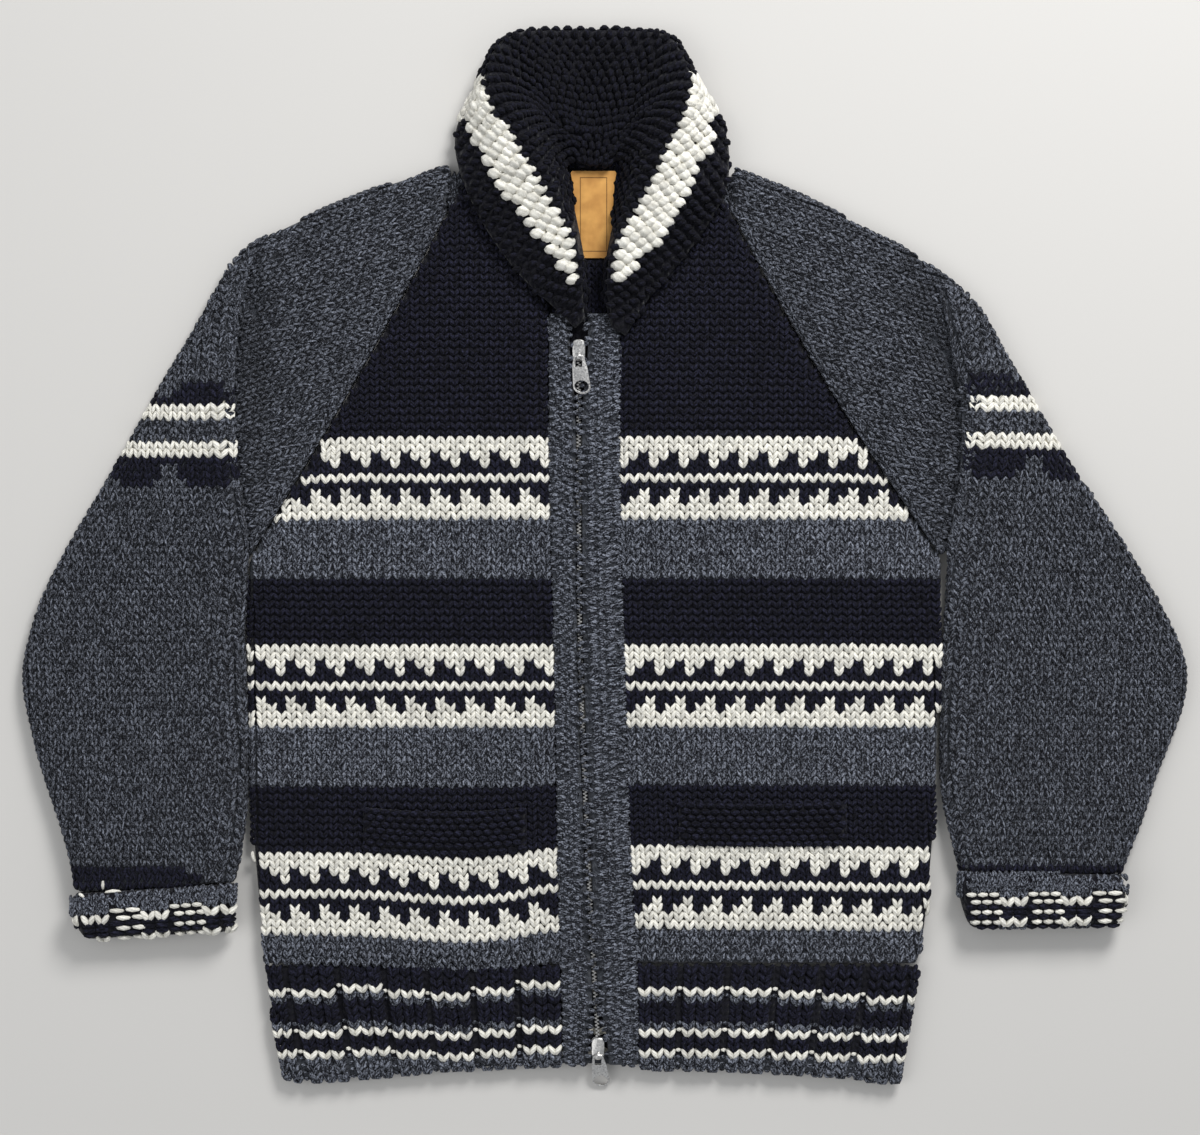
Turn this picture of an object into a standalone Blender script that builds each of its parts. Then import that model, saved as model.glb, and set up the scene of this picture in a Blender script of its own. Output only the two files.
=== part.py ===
"""Zip cardigan in bulky wool with a shawl collar, laid flat with its front up.

The cardigan lies on its back. X runs across it (its wearer's left is +X), Y runs up to the
collar and Z is up. The tables below are in millimetres from the foot of the zip line and the
armpits: x is 0 on the zip and y is 0 at the armpits. At the end everything is moved so that
the middle of the underside of the whole garment is the origin.
"""

import math
from collections import namedtuple

import bmesh
import bpy
from mathutils import Matrix, Vector

MM = 0.001

# Cloth and the way the layers lie on each other, in millimetres.
CLOTH = 5.5
SEAM_GAP = 0.3
LAY_GAP = 0.6
EDGE_ROUND = 2.5
SLEEVE_HOLLOW = 2.0
SLEEVE_HOLLOW_INSET = 6.5
CUFF_HOLLOW = 2.5
BAND_CLOTH = 7.5
WELT_CLOTH = 2.8
COLLAR_CLOTH = 6.5

BACK_TOP = CLOTH
FRONT_FLOOR = BACK_TOP + SEAM_GAP
FRONT_TOP = FRONT_FLOOR + CLOTH

HEM_SEAM_Y = -324.0
NECK_SEAM_Y = 318.0
BAND_HEAD_Y = 198.0
NECKLINE_FOOT_Y = 176.0
SLEEVE_HEAD_TOP = 13.4

# Hem rib: three knit columns, then one purl groove.
RIB_PITCH = 36.5
RIB_GROOVE = 7.0
RIB_DEPTH = 2.0
HEM_RIGHT_FIRST_GROOVE = 28.0
HEM_LEFT_FIRST_GROOVE = -16.0
HEM_MIDDLE_FOOT_Y = -410.0

# Zip and its hardware.
TEETH_WIDTH = 2.4
TEETH_FLOOR = 7.6
TEETH_TOP = 10.6
SLIDER_LENGTH = 17.0
SLIDER_WIDTH = 10.4
SLIDER_NECK = 3.6
SLIDER_PLATE = 1.4
SLIDER_FLOOR = 6.4
SLIDER_HEIGHT = 7.0
BRIDGE_LENGTH = 6.0
BRIDGE_WIDTH = 2.4
BRIDGE_BAR = 1.2
BRIDGE_RISE = 4.4
HINGE_FROM_END = 3.0
HINGE_RISE = 2.0
PULL_LENGTH = 30.0
PULL_HEAD_WIDTH = 8.4
PULL_SHOULDER = 8.5
PULL_SHOULDER_WIDTH = 12.0
PULL_FOOT_WIDTH = 14.0
PULL_PLATE = 1.6
PULL_LEAN = math.radians(6.0)
PULL_WINDOW_LENGTH = 7.4
PULL_WINDOW_WIDTH = 5.4
PULL_HOLE_LENGTH = 9.4
PULL_HOLE_WIDTH = 11.2
BOTTOM_PULL_DROOP = math.radians(28.0)
TOP_PULL_DROOP = math.radians(1.5)
BOTTOM_SLIDER_Y = -391.0
TOP_SLIDER_Y = 168.0

# The body, from the foot of the hem to the armpits: x of its two side edges.
Side = namedtuple("Side", "y left right")
BODY_SIDES = (
    Side(-420, -250.0, 237.0),
    Side(-340, -266.0, 251.0),
    Side(-304, -270.0, 259.0),
    Side(-248, -276.0, 265.0),
    Side(-192, -279.0, 269.0),
    Side(-128, -279.5, 271.5),
    Side(-60, -280.5, 272.5),
    Side(0, -281.5, 274.5),
)

# A raglan seam runs from the armpit to the neck as a shallow bow.
Raglan = namedtuple("Raglan", "armpit_x neck_x neck_y bow")
RAGLAN_RIGHT_ARM = Raglan(-281.5, -100.0, 322.0, 5.0)
RAGLAN_LEFT_ARM = Raglan(274.5, 84.0, 322.0, -10.0)

# Inner edges of the fronts, beside the zip bands and then along the neckline.
Inner = namedtuple("Inner", "y left right")
FRONT_INNER = (
    Inner(-420, -30.0, 32.0),
    Inner(-324, -32.0, 30.0),
    Inner(-232, -35.0, 24.5),
    Inner(-72, -37.5, 20.0),
    Inner(0, -40.0, 17.5),
    Inner(120, -42.0, 16.0),
    Inner(176, -42.0, 17.0),
    Inner(202, -42.5, 17.0),
    Inner(214, -43.0, 33.0),
    Inner(244, -56.0, 55.0),
    Inner(272, -70.0, 71.0),
    Inner(300, -86.0, 77.0),
    Inner(322, -96.0, 76.0),
)

# The zip line and half of the gap in which its teeth show.
Zip = namedtuple("Zip", "y x half_gap")
ZIP_LINE = (
    Zip(-420, -1.0, 7.6),
    Zip(-396, -1.5, 7.2),
    Zip(-378, -2.0, 5.9),
    Zip(-352, -3.5, 1.7),
    Zip(-272, -8.0, 1.5),
    Zip(-160, -13.0, 1.5),
    Zip(-60, -16.0, 1.5),
    Zip(60, -17.0, 1.5),
    Zip(140, -17.0, 1.6),
    Zip(158, -17.0, 6.0),
    Zip(210, -17.0, 6.0),
)

# Foot of the hem: y along the width of the body.
Foot = namedtuple("Foot", "x y")
HEM_FOOT = (
    Foot(-260, -409.0),
    Foot(-240, -417.0),
    Foot(-160, -411.0),
    Foot(-90, -406.0),
    Foot(-30, -404.0),
    Foot(32, -406.0),
    Foot(128, -409.0),
    Foot(208, -414.0),
    Foot(232, -418.0),
    Foot(250, -414.0),
)

# Folds and swells of the fronts: a soft ridge along each line, in plan.
Fold = namedtuple("Fold", "x0 y0 x1 y1 width height")
FOLDS_HEIGHT_LIMIT = 3.4
FRONT_FOLDS = (
    Fold(-200, -300, -60, -292, 26, 3.2),
    Fold(70, -300, 225, -296, 24, 2.2),
    Fold(-185, -205, -70, -212, 22, 2.6),
    Fold(75, -200, 195, -206, 22, 1.8),
    Fold(-262, -40, -225, 60, 18, 2.2),
    Fold(252, -40, 218, 60, 18, 2.2),
    Fold(-70, 120, -60, 215, 22, 2.4),
    Fold(46, 110, 62, 215, 22, 2.4),
    Fold(-215, -130, -190, 20, 30, 1.4),
    Fold(150, -150, 170, 0, 30, 1.4),
    Fold(-240, -390, -80, -380, 20, 1.4),
    Fold(90, -384, 220, -392, 20, 1.4),
)

# A sleeve, section by section from the raglan seam to the cuff. Outer and inner are the ends
# of a section in plan and bow is how far its middle stands towards the hand. The heights are
# of the upper side near each end and in the middle. Shift moves only the upper side, towards
# the body where positive, and makes the pleat from shoulder to armpit overlap. Lift is the
# height of the underside.
Section = namedtuple(
    "Section", "outer_x outer_y inner_x inner_y bow shift outer_z middle_z inner_z lift"
)
RIGHT_ARM = (
    Section(-154, 307, -281.0, 3.5, -2.0, 0.0, 12.0, 15.5, 13.0, 0.0),
    Section(-203, 289, -281.0, 5.0, -1.0, 0.0, 12.0, 16.5, 13.0, 0.0),
    Section(-244, 271, -281.2, 6.5, 3.0, 0.0, 12.0, 14.5, 12.5, 0.0),
    Section(-264, 261, -281.6, 7.5, 8.0, 0.0, 12.0, 11.0, 12.0, 0.0),
    Section(-272, 257, -282.0, 8.5, 14.0, -5.0, 12.0, 9.5, 11.5, 0.0),
    Section(-275, 255, -282.5, 9.0, 16.0, 3.0, 12.2, 14.0, 13.5, 0.0),
    Section(-278, 253, -283.0, 9.5, 17.0, 4.5, 12.6, 19.0, 17.0, 0.0),
    Section(-281, 251, -283.5, 9.0, 18.0, 0.0, 13.0, 22.5, 20.0, 0.0),
    Section(-290, 244, -284.0, 5.0, 22.0, 0.0, 13.2, 22.0, 19.5, 0.0),
    Section(-306, 218, -284.5, -6.0, 20.0, 0.0, 13.2, 20.0, 18.0, 0.0),
    Section(-320, 190, -285.0, -16.0, 17.0, 0.0, 13.2, 18.5, 17.0, 0.0),
    Section(-352, 140, -285.5, -30.0, 14.0, 0.0, 13.4, 17.5, 16.0, 0.0),
    Section(-384, 80, -286.0, -46.0, 11.0, 0.0, 13.6, 17.0, 15.0, 0.0),
    Section(-423, 16, -286.0, -66.0, 8.0, 0.0, 13.6, 17.0, 14.5, 0.0),
    Section(-446, -27, -285.2, -84.0, 6.0, 0.0, 13.4, 16.5, 14.0, 0.0),
    Section(-459, -68, -284.5, -103.0, 4.0, 0.0, 13.2, 16.0, 14.0, 0.0),
    Section(-463, -98, -284.0, -122.0, 2.0, 0.0, 13.2, 16.0, 14.0, 0.0),
    Section(-456, -130, -283.5, -144.0, 1.0, 0.0, 13.4, 16.5, 14.0, 0.0),
    Section(-448, -164, -283.5, -168.0, 0.0, 0.0, 13.8, 17.0, 14.0, 0.0),
    Section(-437, -194, -284.5, -194.0, 0.0, 0.0, 14.6, 18.0, 15.0, 1.5),
    Section(-429, -218, -286.0, -216.0, 0.0, 0.0, 16.2, 19.0, 16.5, 3.6),
    Section(-422, -241, -289.0, -236.0, 0.0, 0.0, 18.0, 19.4, 18.0, 5.4),
    Section(-419, -261, -293.0, -253.0, 0.0, 0.0, 18.8, 19.2, 18.8, 5.8),
    Section(-418, -265.5, -294.0, -257.5, 0.0, 0.0, 18.8, 19.0, 18.8, 5.8),
)
LEFT_ARM = (
    Section(136, 302, 274.5, 3.5, -7.0, 0.0, 12.0, 15.5, 13.0, 0.0),
    Section(170, 289, 274.6, 5.0, -5.0, 0.0, 12.0, 16.5, 13.0, 0.0),
    Section(224, 260, 275.0, 6.5, 2.0, 0.0, 12.0, 15.0, 12.5, 0.0),
    Section(253, 244, 275.8, 7.5, 10.0, 0.0, 12.0, 11.0, 12.0, 0.0),
    Section(263, 237, 276.6, 8.5, 17.0, -5.0, 12.0, 9.5, 11.5, 0.0),
    Section(267, 234, 277.4, 9.0, 19.0, 3.0, 12.2, 14.0, 13.5, 0.0),
    Section(271, 231, 278.2, 9.5, 20.0, 4.5, 12.6, 19.0, 17.0, 0.0),
    Section(275, 228, 279.0, 9.0, 21.0, 0.0, 13.0, 22.5, 20.0, 0.0),
    Section(284, 222, 279.6, 5.0, 24.0, 0.0, 13.2, 22.0, 19.5, 0.0),
    Section(304, 204, 279.8, -6.0, 21.0, 0.0, 13.2, 20.0, 18.0, 0.0),
    Section(320, 172, 279.6, -16.0, 17.0, 0.0, 13.2, 18.5, 17.0, 0.0),
    Section(345, 131, 279.0, -30.0, 14.0, 0.0, 13.4, 17.5, 16.0, 0.0),
    Section(370, 88, 278.2, -46.0, 11.0, 0.0, 13.6, 17.0, 15.0, 0.0),
    Section(412, 24, 277.0, -66.0, 8.0, 0.0, 13.6, 17.0, 14.5, 0.0),
    Section(444, -27, 275.8, -84.0, 6.0, 0.0, 13.4, 16.5, 14.0, 0.0),
    Section(468, -74, 275.2, -103.0, 4.0, 0.0, 13.2, 16.0, 14.0, 0.0),
    Section(470, -95, 274.8, -122.0, 2.0, 0.0, 13.2, 16.0, 14.0, 0.0),
    Section(466, -122, 274.2, -144.0, 1.0, 0.0, 13.4, 16.5, 14.0, 0.0),
    Section(447, -164, 274.0, -168.0, 0.0, 0.0, 13.8, 17.0, 14.0, 0.0),
    Section(437, -196, 275.5, -194.0, 0.0, 0.0, 14.6, 18.0, 15.0, 1.5),
    Section(430, -216, 280.0, -212.0, 0.0, 0.0, 16.2, 19.0, 16.5, 3.6),
    Section(421, -236, 284.5, -232.0, 0.0, 0.0, 18.0, 19.4, 18.0, 5.4),
    Section(416.5, -246.5, 288.0, -243.5, 0.0, 0.0, 18.8, 19.2, 18.8, 5.8),
    Section(416, -250.5, 289.0, -247.5, 0.0, 0.0, 18.8, 19.0, 18.8, 5.8),
)
NECK_END_RIGHT_ARM = (-118, 317)
NECK_END_LEFT_ARM = (107, 316)

# The end of a sleeve at its raglan seam: height of the upper side at its ends and its middle.
RAGLAN_END_TOP = 11.8
RAGLAN_MIDDLE_TOP = 13.2

# A turned-back cuff from its loose edge to the fold at its foot.
Cuff = namedtuple("Cuff", "outer_x outer_y inner_x inner_y top foot")
RIGHT_CUFF = (
    Cuff(-420.0, -266.0, -290.5, -258.0, 21.5, 0.0),
    Cuff(-421.5, -268.0, -289.8, -260.5, 24.5, 0.0),
    Cuff(-422.5, -280.0, -289.5, -273.0, 25.0, 0.0),
    Cuff(-420.0, -292.0, -290.5, -285.0, 24.5, 0.0),
    Cuff(-416.0, -299.5, -292.5, -293.0, 21.0, 0.3),
    Cuff(-412.0, -303.0, -295.0, -297.0, 16.5, 3.0),
)
LEFT_CUFF = (
    Cuff(417.5, -251.0, 285.0, -248.0, 21.5, 0.0),
    Cuff(419.0, -253.5, 284.2, -250.5, 24.5, 0.0),
    Cuff(421.5, -267.0, 285.0, -264.5, 25.0, 0.0),
    Cuff(420.0, -280.0, 288.5, -279.0, 24.5, 0.0),
    Cuff(417.0, -289.0, 293.0, -290.5, 21.0, 0.3),
    Cuff(414.0, -292.5, 297.0, -294.5, 16.5, 3.0),
)
CUFF_HOLLOW_FLOOR = 10.8
CUFF_HOLLOW_INSET = 9.0
CUFF_SIDE_ROUND = 4.0
CUFF_RIB_DEPTH = 1.2
CUFF_RIBS = 5

# The collar, from the tip of one front round the neck to the other tip. Seam is its inner
# edge, crest is the top of the roll and edge is the loose edge of the fall, each with the
# height of the upper side there. Lobe is the swell between seam and crest. Doubled is 1 where
# the fall lies behind the stand on the floor and the two layers are one rounded thickness.
Collar = namedtuple(
    "Collar", "seam_x seam_y seam_z lobe crest_x crest_y crest_z edge_x edge_y edge_z doubled"
)
COLLAR_RIGHT_HALF = (
    Collar(-12.5, 189, 19.5, 0.0, -14, 190, 20.5, -20, 184, 19.5, 0.0),
    Collar(-11.5, 214, 14.0, 1.5, -17, 216, 25.0, -38, 201, 20.5, 0.0),
    Collar(-13.0, 238, 13.5, 2.0, -17, 240, 29.0, -60, 219, 20.5, 0.0),
    Collar(-17.0, 260, 13.5, 3.0, -24, 264, 33.0, -81, 243, 20.5, 0.0),
    Collar(-22.0, 284, 13.5, 4.0, -38, 287, 37.0, -99, 271, 20.5, 0.0),
    Collar(-25.5, 304, 13.5, 5.0, -53, 311, 40.0, -112, 299, 20.0, 0.0),
    Collar(-27.5, 314, 13.5, 6.0, -67, 335, 42.0, -119, 327, 15.0, 0.0),
    Collar(-28.0, 319, 13.5, 7.0, -79, 358, 42.0, -116, 350, 11.0, 0.1),
    Collar(-26.0, 321, 13.5, 7.0, -87, 382, 36.0, -101, 376, 10.0, 0.35),
    Collar(-22.0, 320, 13.5, 6.0, -83, 404, 27.0, -89, 405, 9.0, 0.8),
    Collar(-17.0, 318.5, 13.5, 4.0, -64, 419, 20.0, -68, 423, 8.0, 1.0),
    Collar(-11.0, 317, 13.5, 1.0, -34, 420, 16.5, -35, 425, 7.5, 1.0),
)
COLLAR_MIDDLE = Collar(-4.5, 316.5, 13.5, 0.0, -4, 420, 16.0, -4, 425, 7.5, 1.0)
COLLAR_LEFT_HALF = (
    Collar(2.0, 317, 13.5, 1.0, 32, 420, 16.5, 33, 425, 7.5, 1.0),
    Collar(8.0, 318.5, 13.5, 4.0, 53, 416, 20.0, 57, 420, 8.0, 1.0),
    Collar(13.0, 320, 13.5, 6.0, 64, 400, 27.0, 70, 402, 9.0, 0.8),
    Collar(17.5, 321, 13.5, 7.0, 70, 378, 36.0, 85, 374, 10.0, 0.35),
    Collar(19.5, 319, 13.5, 7.0, 66, 356, 42.0, 99, 352, 11.0, 0.1),
    Collar(19.5, 314, 13.5, 6.0, 54, 332, 42.0, 106, 330, 15.0, 0.0),
    Collar(18.0, 304, 13.5, 5.0, 41, 305, 40.0, 106, 300, 20.0, 0.0),
    Collar(14.0, 282, 13.5, 4.0, 25, 276, 37.0, 98, 281, 20.5, 0.0),
    Collar(9.0, 258, 13.5, 3.0, 13, 254, 33.0, 84, 258, 20.5, 0.0),
    Collar(5.0, 236, 13.5, 2.0, 8, 234, 29.0, 64, 234, 20.5, 0.0),
    Collar(4.5, 210, 14.0, 1.5, 8, 209, 25.0, 40, 208, 20.5, 0.0),
    Collar(10.5, 184, 19.5, 0.0, 13, 183, 20.5, 21, 178, 19.5, 0.0),
)

# Pocket welts, left and right in plan, then the foot and the head of each.
Welt = namedtuple("Welt", "name left right foot head sag")
WELTS = (
    Welt("pocket_welt_right", -190.0, -58.0, -231.0, -197.0, 4.0),
    Welt("pocket_welt_left", 62.0, 198.0, -228.0, -193.0, 1.5),
)

# Neck label of leather.
LABEL_LEFT = -24.5
LABEL_RIGHT = 13.0
LABEL_FOOT = 242.0
LABEL_HEAD = 312.0
LABEL_THICK = 1.5

# Materials: colour, roughness and metallic value.
Finish = namedtuple("Finish", "colour roughness metallic")
FINISHES = {
    "grey_wool": Finish((0.085, 0.09, 0.10), 0.95, 0.0),
    "black_wool": Finish((0.012, 0.012, 0.018), 0.95, 0.0),
    "cream_wool": Finish((0.75, 0.72, 0.64), 0.95, 0.0),
    "tan_leather": Finish((0.55, 0.29, 0.10), 0.6, 0.0),
    "zip_metal": Finish((0.62, 0.61, 0.59), 0.35, 1.0),
}


def clear_scene():
    for obj in list(bpy.data.objects):
        bpy.data.objects.remove(obj, do_unlink=True)


def make_materials():
    made = {}
    for name, finish in FINISHES.items():
        material = bpy.data.materials.new(name)
        material.use_nodes = True
        shader = material.node_tree.nodes["Principled BSDF"]
        shader.inputs["Base Color"].default_value = (*finish.colour, 1.0)
        shader.inputs["Roughness"].default_value = finish.roughness
        shader.inputs["Metallic"].default_value = finish.metallic
        made[name] = material
    return made


def smooth_read(rows, key, value, at):
    """Read a column of a table at a place between its rows, along a smooth curve."""
    keys = [getattr(row, key) for row in rows]
    values = [getattr(row, value) for row in rows]
    if at <= keys[0]:
        return values[0]
    if at >= keys[-1]:
        return values[-1]
    i = max(j for j in range(len(keys) - 1) if keys[j] <= at)
    span = keys[i + 1] - keys[i]
    rise = values[i + 1] - values[i]
    slope_in = rise / span
    slope_out = rise / span
    if i > 0:
        slope_in = (values[i + 1] - values[i - 1]) / (keys[i + 1] - keys[i - 1])
    if i + 2 < len(keys):
        slope_out = (values[i + 2] - values[i]) / (keys[i + 2] - keys[i])
    t = (at - keys[i]) / span
    bend_in = slope_in * span - rise
    bend_out = rise - slope_out * span
    return values[i] + rise * t + t * (1 - t) * (bend_in * (1 - t) + bend_out * t)


def mix(a, b, t):
    return a + (b - a) * t


def ease(t):
    t = min(1.0, max(0.0, t))
    return t * t * (3 - 2 * t)


def relief(x, y):
    """Height of the folds and swells of the fronts."""
    total = 0.0
    for fold in FRONT_FOLDS:
        ax = fold.x1 - fold.x0
        ay = fold.y1 - fold.y0
        along = ((x - fold.x0) * ax + (y - fold.y0) * ay) / (ax * ax + ay * ay)
        along = min(1.0, max(0.0, along))
        dx = x - fold.x0 - ax * along
        dy = y - fold.y0 - ay * along
        total += fold.height * math.exp(-(dx * dx + dy * dy) / (fold.width * fold.width))
    return min(total, FOLDS_HEIGHT_LIMIT)


def raglan_x(raglan, y):
    t = y / raglan.neck_y
    return mix(raglan.armpit_x, raglan.neck_x, t) + raglan.bow * 4 * t * (1 - t)


def outer_left(y):
    if y > 0:
        return raglan_x(RAGLAN_RIGHT_ARM, y)
    return smooth_read(BODY_SIDES, "y", "left", y)


def outer_right(y):
    if y > 0:
        return raglan_x(RAGLAN_LEFT_ARM, y)
    return smooth_read(BODY_SIDES, "y", "right", y)


def inner_left(y):
    return smooth_read(FRONT_INNER, "y", "left", y)


def inner_right(y):
    return smooth_read(FRONT_INNER, "y", "right", y)


def zip_x(y):
    return smooth_read(ZIP_LINE, "y", "x", y)


def zip_half_gap(y):
    return smooth_read(ZIP_LINE, "y", "half_gap", y)


def foot_y(x):
    return smooth_read(HEM_FOOT, "x", "y", x)


def add_object(name, mesh, material, smooth_angle=40.0):
    """Give a mesh, made in millimetres, its object, material and shading."""
    mesh.materials.append(material)
    mesh.shade_smooth()
    mesh.set_sharp_from_angle(angle=math.radians(smooth_angle))
    obj = bpy.data.objects.new(name, mesh)
    bpy.context.scene.collection.objects.link(obj)
    return obj


def mesh_from(name, points, faces):
    """Make a closed mesh, in metres, with its faces turned outwards."""
    mesh = bpy.data.meshes.new(name)
    mesh.from_pydata([Vector(p) * MM for p in points], [], faces)
    work = bmesh.new()
    work.from_mesh(mesh)
    bmesh.ops.recalc_face_normals(work, faces=work.faces)
    work.to_mesh(mesh)
    work.free()
    return mesh


def slab_mesh(name, sections):
    """Loft sections into a slab. A section is a pair of rows of points, upper and lower,
    and the two points of its rounded ends."""
    points = []
    faces = []
    count = len(sections[0][0])
    size = 2 * count + 2
    for upper, lower, start, end in sections:
        points.append(start)
        points.extend(upper)
        points.append(end)
        points.extend(reversed(lower))
    for row in range(len(sections) - 1):
        a = row * size
        b = a + size
        for i in range(size):
            j = (i + 1) % size
            faces.append((a + i, a + j, b + j, b + i))
    for base in (0, (len(sections) - 1) * size):
        faces.append((base, base + 1, base + size - 1))
        for i in range(1, count):
            faces.append((base + i, base + i + 1, base + size - i - 1, base + size - i))
        faces.append((base + count, base + count + 1, base + count + 2))
    return mesh_from(name, points, faces)


def tube_mesh(name, outer_loops, inner_loops):
    """Loft a flattened tube with a wall between its outer and inner loops, open at its ends."""
    points = []
    faces = []
    size = len(outer_loops[0])
    rows = len(outer_loops)
    for loop in outer_loops:
        points.extend(loop)
    for loop in inner_loops:
        points.extend(loop)
    shell = rows * size
    for row in range(rows - 1):
        for i in range(size):
            j = (i + 1) % size
            a = row * size
            b = a + size
            faces.append((a + i, a + j, b + j, b + i))
            faces.append((shell + a + i, shell + b + i, shell + b + j, shell + a + j))
    for a in (0, (rows - 1) * size):
        for i in range(size):
            j = (i + 1) % size
            faces.append((a + i, shell + a + i, shell + a + j, a + j))
    return mesh_from(name, points, faces)


def across(left, right, count):
    """Places across a panel, from one rounded edge to the other."""
    start = left + EDGE_ROUND
    end = right - EDGE_ROUND
    return [mix(start, end, i / (count - 1)) for i in range(count)]


def panel_section(y_at, xs, left, right, floor, top):
    upper = [(x, y_at(x), top(x, y_at(x))) for x in xs]
    lower = [(x, y_at(x), floor(x, y_at(x))) for x in xs]
    middle_left = (top(left, y_at(left)) + floor(left, y_at(left))) / 2
    middle_right = (top(right, y_at(right)) + floor(right, y_at(right))) / 2
    start = (left, y_at(left), middle_left)
    end = (right, y_at(right), middle_right)
    return upper, lower, start, end


def back_floor(x, y):
    return 0.0


def back_top(x, y):
    return BACK_TOP


def front_floor(x, y):
    return FRONT_FLOOR + relief(x, y)


def front_top(x, y):
    return FRONT_TOP + relief(x, y)


def rows_between(low, high, count):
    return [mix(low, high, i / (count - 1)) for i in range(count)]


def make_panel(name, ys, left_of, right_of, floor, top, columns, material):
    sections = []
    for y in ys:
        left = left_of(y)
        right = right_of(y)
        xs = across(left, right, columns)
        sections.append(panel_section(lambda x, y=y: y, xs, left, right, floor, top))
    return add_object(name, slab_mesh(name, sections), material)


def make_body_panels(wool):
    ys = rows_between(HEM_SEAM_Y, -4.0, 9) + rows_between(0.0, NECK_SEAM_Y, 10)
    make_panel(
        "back", ys, outer_left, outer_right, back_floor, back_top, 9, wool["grey_wool"]
    )
    ys = rows_between(HEM_SEAM_Y, -4.0, 16) + rows_between(0.0, NECK_SEAM_Y, 15)
    make_panel(
        "front_right", ys, outer_left, inner_left, front_floor, front_top, 11, wool["grey_wool"]
    )
    make_panel(
        "front_left", ys, inner_right, outer_right, front_floor, front_top, 11, wool["grey_wool"]
    )


def rib_profile(along):
    """Height of the rib: 1 on the knit columns, 0 in the purl groove."""
    place = along % RIB_PITCH
    half = RIB_GROOVE / 2
    distance = min(place, RIB_PITCH - place)
    return ease((distance - half * 0.4) / half)


def rib_columns(left, right, phase):
    """Places across a rib: its edges, and four at each groove."""
    places = [left + EDGE_ROUND, right - EDGE_ROUND]
    first = math.floor((left - phase) / RIB_PITCH)
    last = math.ceil((right - phase) / RIB_PITCH)
    for number in range(first, last + 1):
        groove = phase + number * RIB_PITCH
        for offset in (-RIB_GROOVE * 0.7, -RIB_GROOVE * 0.2, RIB_GROOVE * 0.2, RIB_GROOVE * 0.7):
            places.append(groove + offset)
        places.append(groove + RIB_PITCH / 2)
    margin = EDGE_ROUND * 0.99
    return sorted(p for p in places if left + margin < p < right - margin)


def make_hem(name, left_of, right_of, floor, top, phase, ribbed, material):
    """A hem from its seam to its curved foot, its grooves running down."""
    sections = []
    y_seam = HEM_SEAM_Y - SEAM_GAP
    left_head = left_of(y_seam)
    right_head = right_of(y_seam)
    if ribbed:
        columns = rib_columns(left_head, right_head, phase)
    else:
        columns = across(left_head, right_head, 9)
    shares = [(x - left_head) / (right_head - left_head) for x in columns]
    for down, full in ((0.0, 1.0), (0.3, 1.0), (0.65, 1.0), (0.96, 1.0), (1.0, 0.45)):
        nominal = mix(y_seam, HEM_MIDDLE_FOOT_Y, down)
        left = left_of(nominal)
        right = right_of(nominal)

        def y_at(x, down=down):
            return mix(y_seam, foot_y(x), down)

        upper = []
        lower = []
        for share, column in zip(shares, columns):
            x = mix(left, right, share)
            y = y_at(x)
            low = floor(x, y)
            high = top(x, y)
            if ribbed:
                high -= RIB_DEPTH * (1 - rib_profile(column - phase))
            upper.append((x, y, mix(low, high, full)))
            lower.append((x, y, low))
        edge_rise = CLOTH / 2 * full
        start = (left, y_at(left), floor(left, y_at(left)) + edge_rise)
        end = (right, y_at(right), floor(right, y_at(right)) + edge_rise)
        sections.append((upper, lower, start, end))
    return add_object(name, slab_mesh(name, sections), material)


def make_hems(wool):
    make_hem(
        "hem_back", outer_left, outer_right, back_floor, back_top, 0.0, False, wool["black_wool"]
    )
    make_hem(
        "hem_front_right", outer_left, inner_left, front_floor, front_top,
        HEM_RIGHT_FIRST_GROOVE, True, wool["black_wool"]
    )
    make_hem(
        "hem_front_left", inner_right, outer_right, front_floor, front_top,
        HEM_LEFT_FIRST_GROOVE, True, wool["black_wool"]
    )


def make_bands(wool):
    """The two thick bands beside the zip."""

    def band_top(x, y):
        return front_floor(x, y) + BAND_CLOTH

    def right_band_left(y):
        return inner_left(min(y, NECKLINE_FOOT_Y)) + SEAM_GAP

    def right_band_right(y):
        return zip_x(y) - zip_half_gap(y)

    def left_band_left(y):
        return zip_x(y) + zip_half_gap(y)

    def left_band_right(y):
        return inner_right(min(y, NECKLINE_FOOT_Y)) - SEAM_GAP

    ys = [-404.5] + rows_between(-402.0, -340.0, 6) + rows_between(-310.0, 150.0, 12)
    ys += [165.0, 174.0, 181.0, 190.0, BAND_HEAD_Y]
    for name, left_of, right_of in (
        ("zip_band_right", right_band_left, right_band_right),
        ("zip_band_left", left_band_left, left_band_right),
    ):
        make_panel(name, ys, left_of, right_of, front_floor, band_top, 4, wool["grey_wool"])


def make_zip_chain(wool):
    sections = []
    start_y = BOTTOM_SLIDER_Y + SLIDER_LENGTH / 2 + SEAM_GAP
    end_y = TOP_SLIDER_Y - SLIDER_LENGTH / 2 - SEAM_GAP
    bevel = 0.4
    for y in rows_between(start_y, end_y, 26):
        x = zip_x(y)
        half = TEETH_WIDTH / 2
        middle = (TEETH_FLOOR + TEETH_TOP) / 2
        upper = [(x - half + bevel, y, TEETH_TOP), (x + half - bevel, y, TEETH_TOP)]
        lower = [(x - half + bevel, y, TEETH_FLOOR), (x + half - bevel, y, TEETH_FLOOR)]
        sections.append((upper, lower, (x - half, y, middle), (x + half, y, middle)))
    add_object("zip_chain", slab_mesh("zip_chain", sections), wool["zip_metal"])


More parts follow.
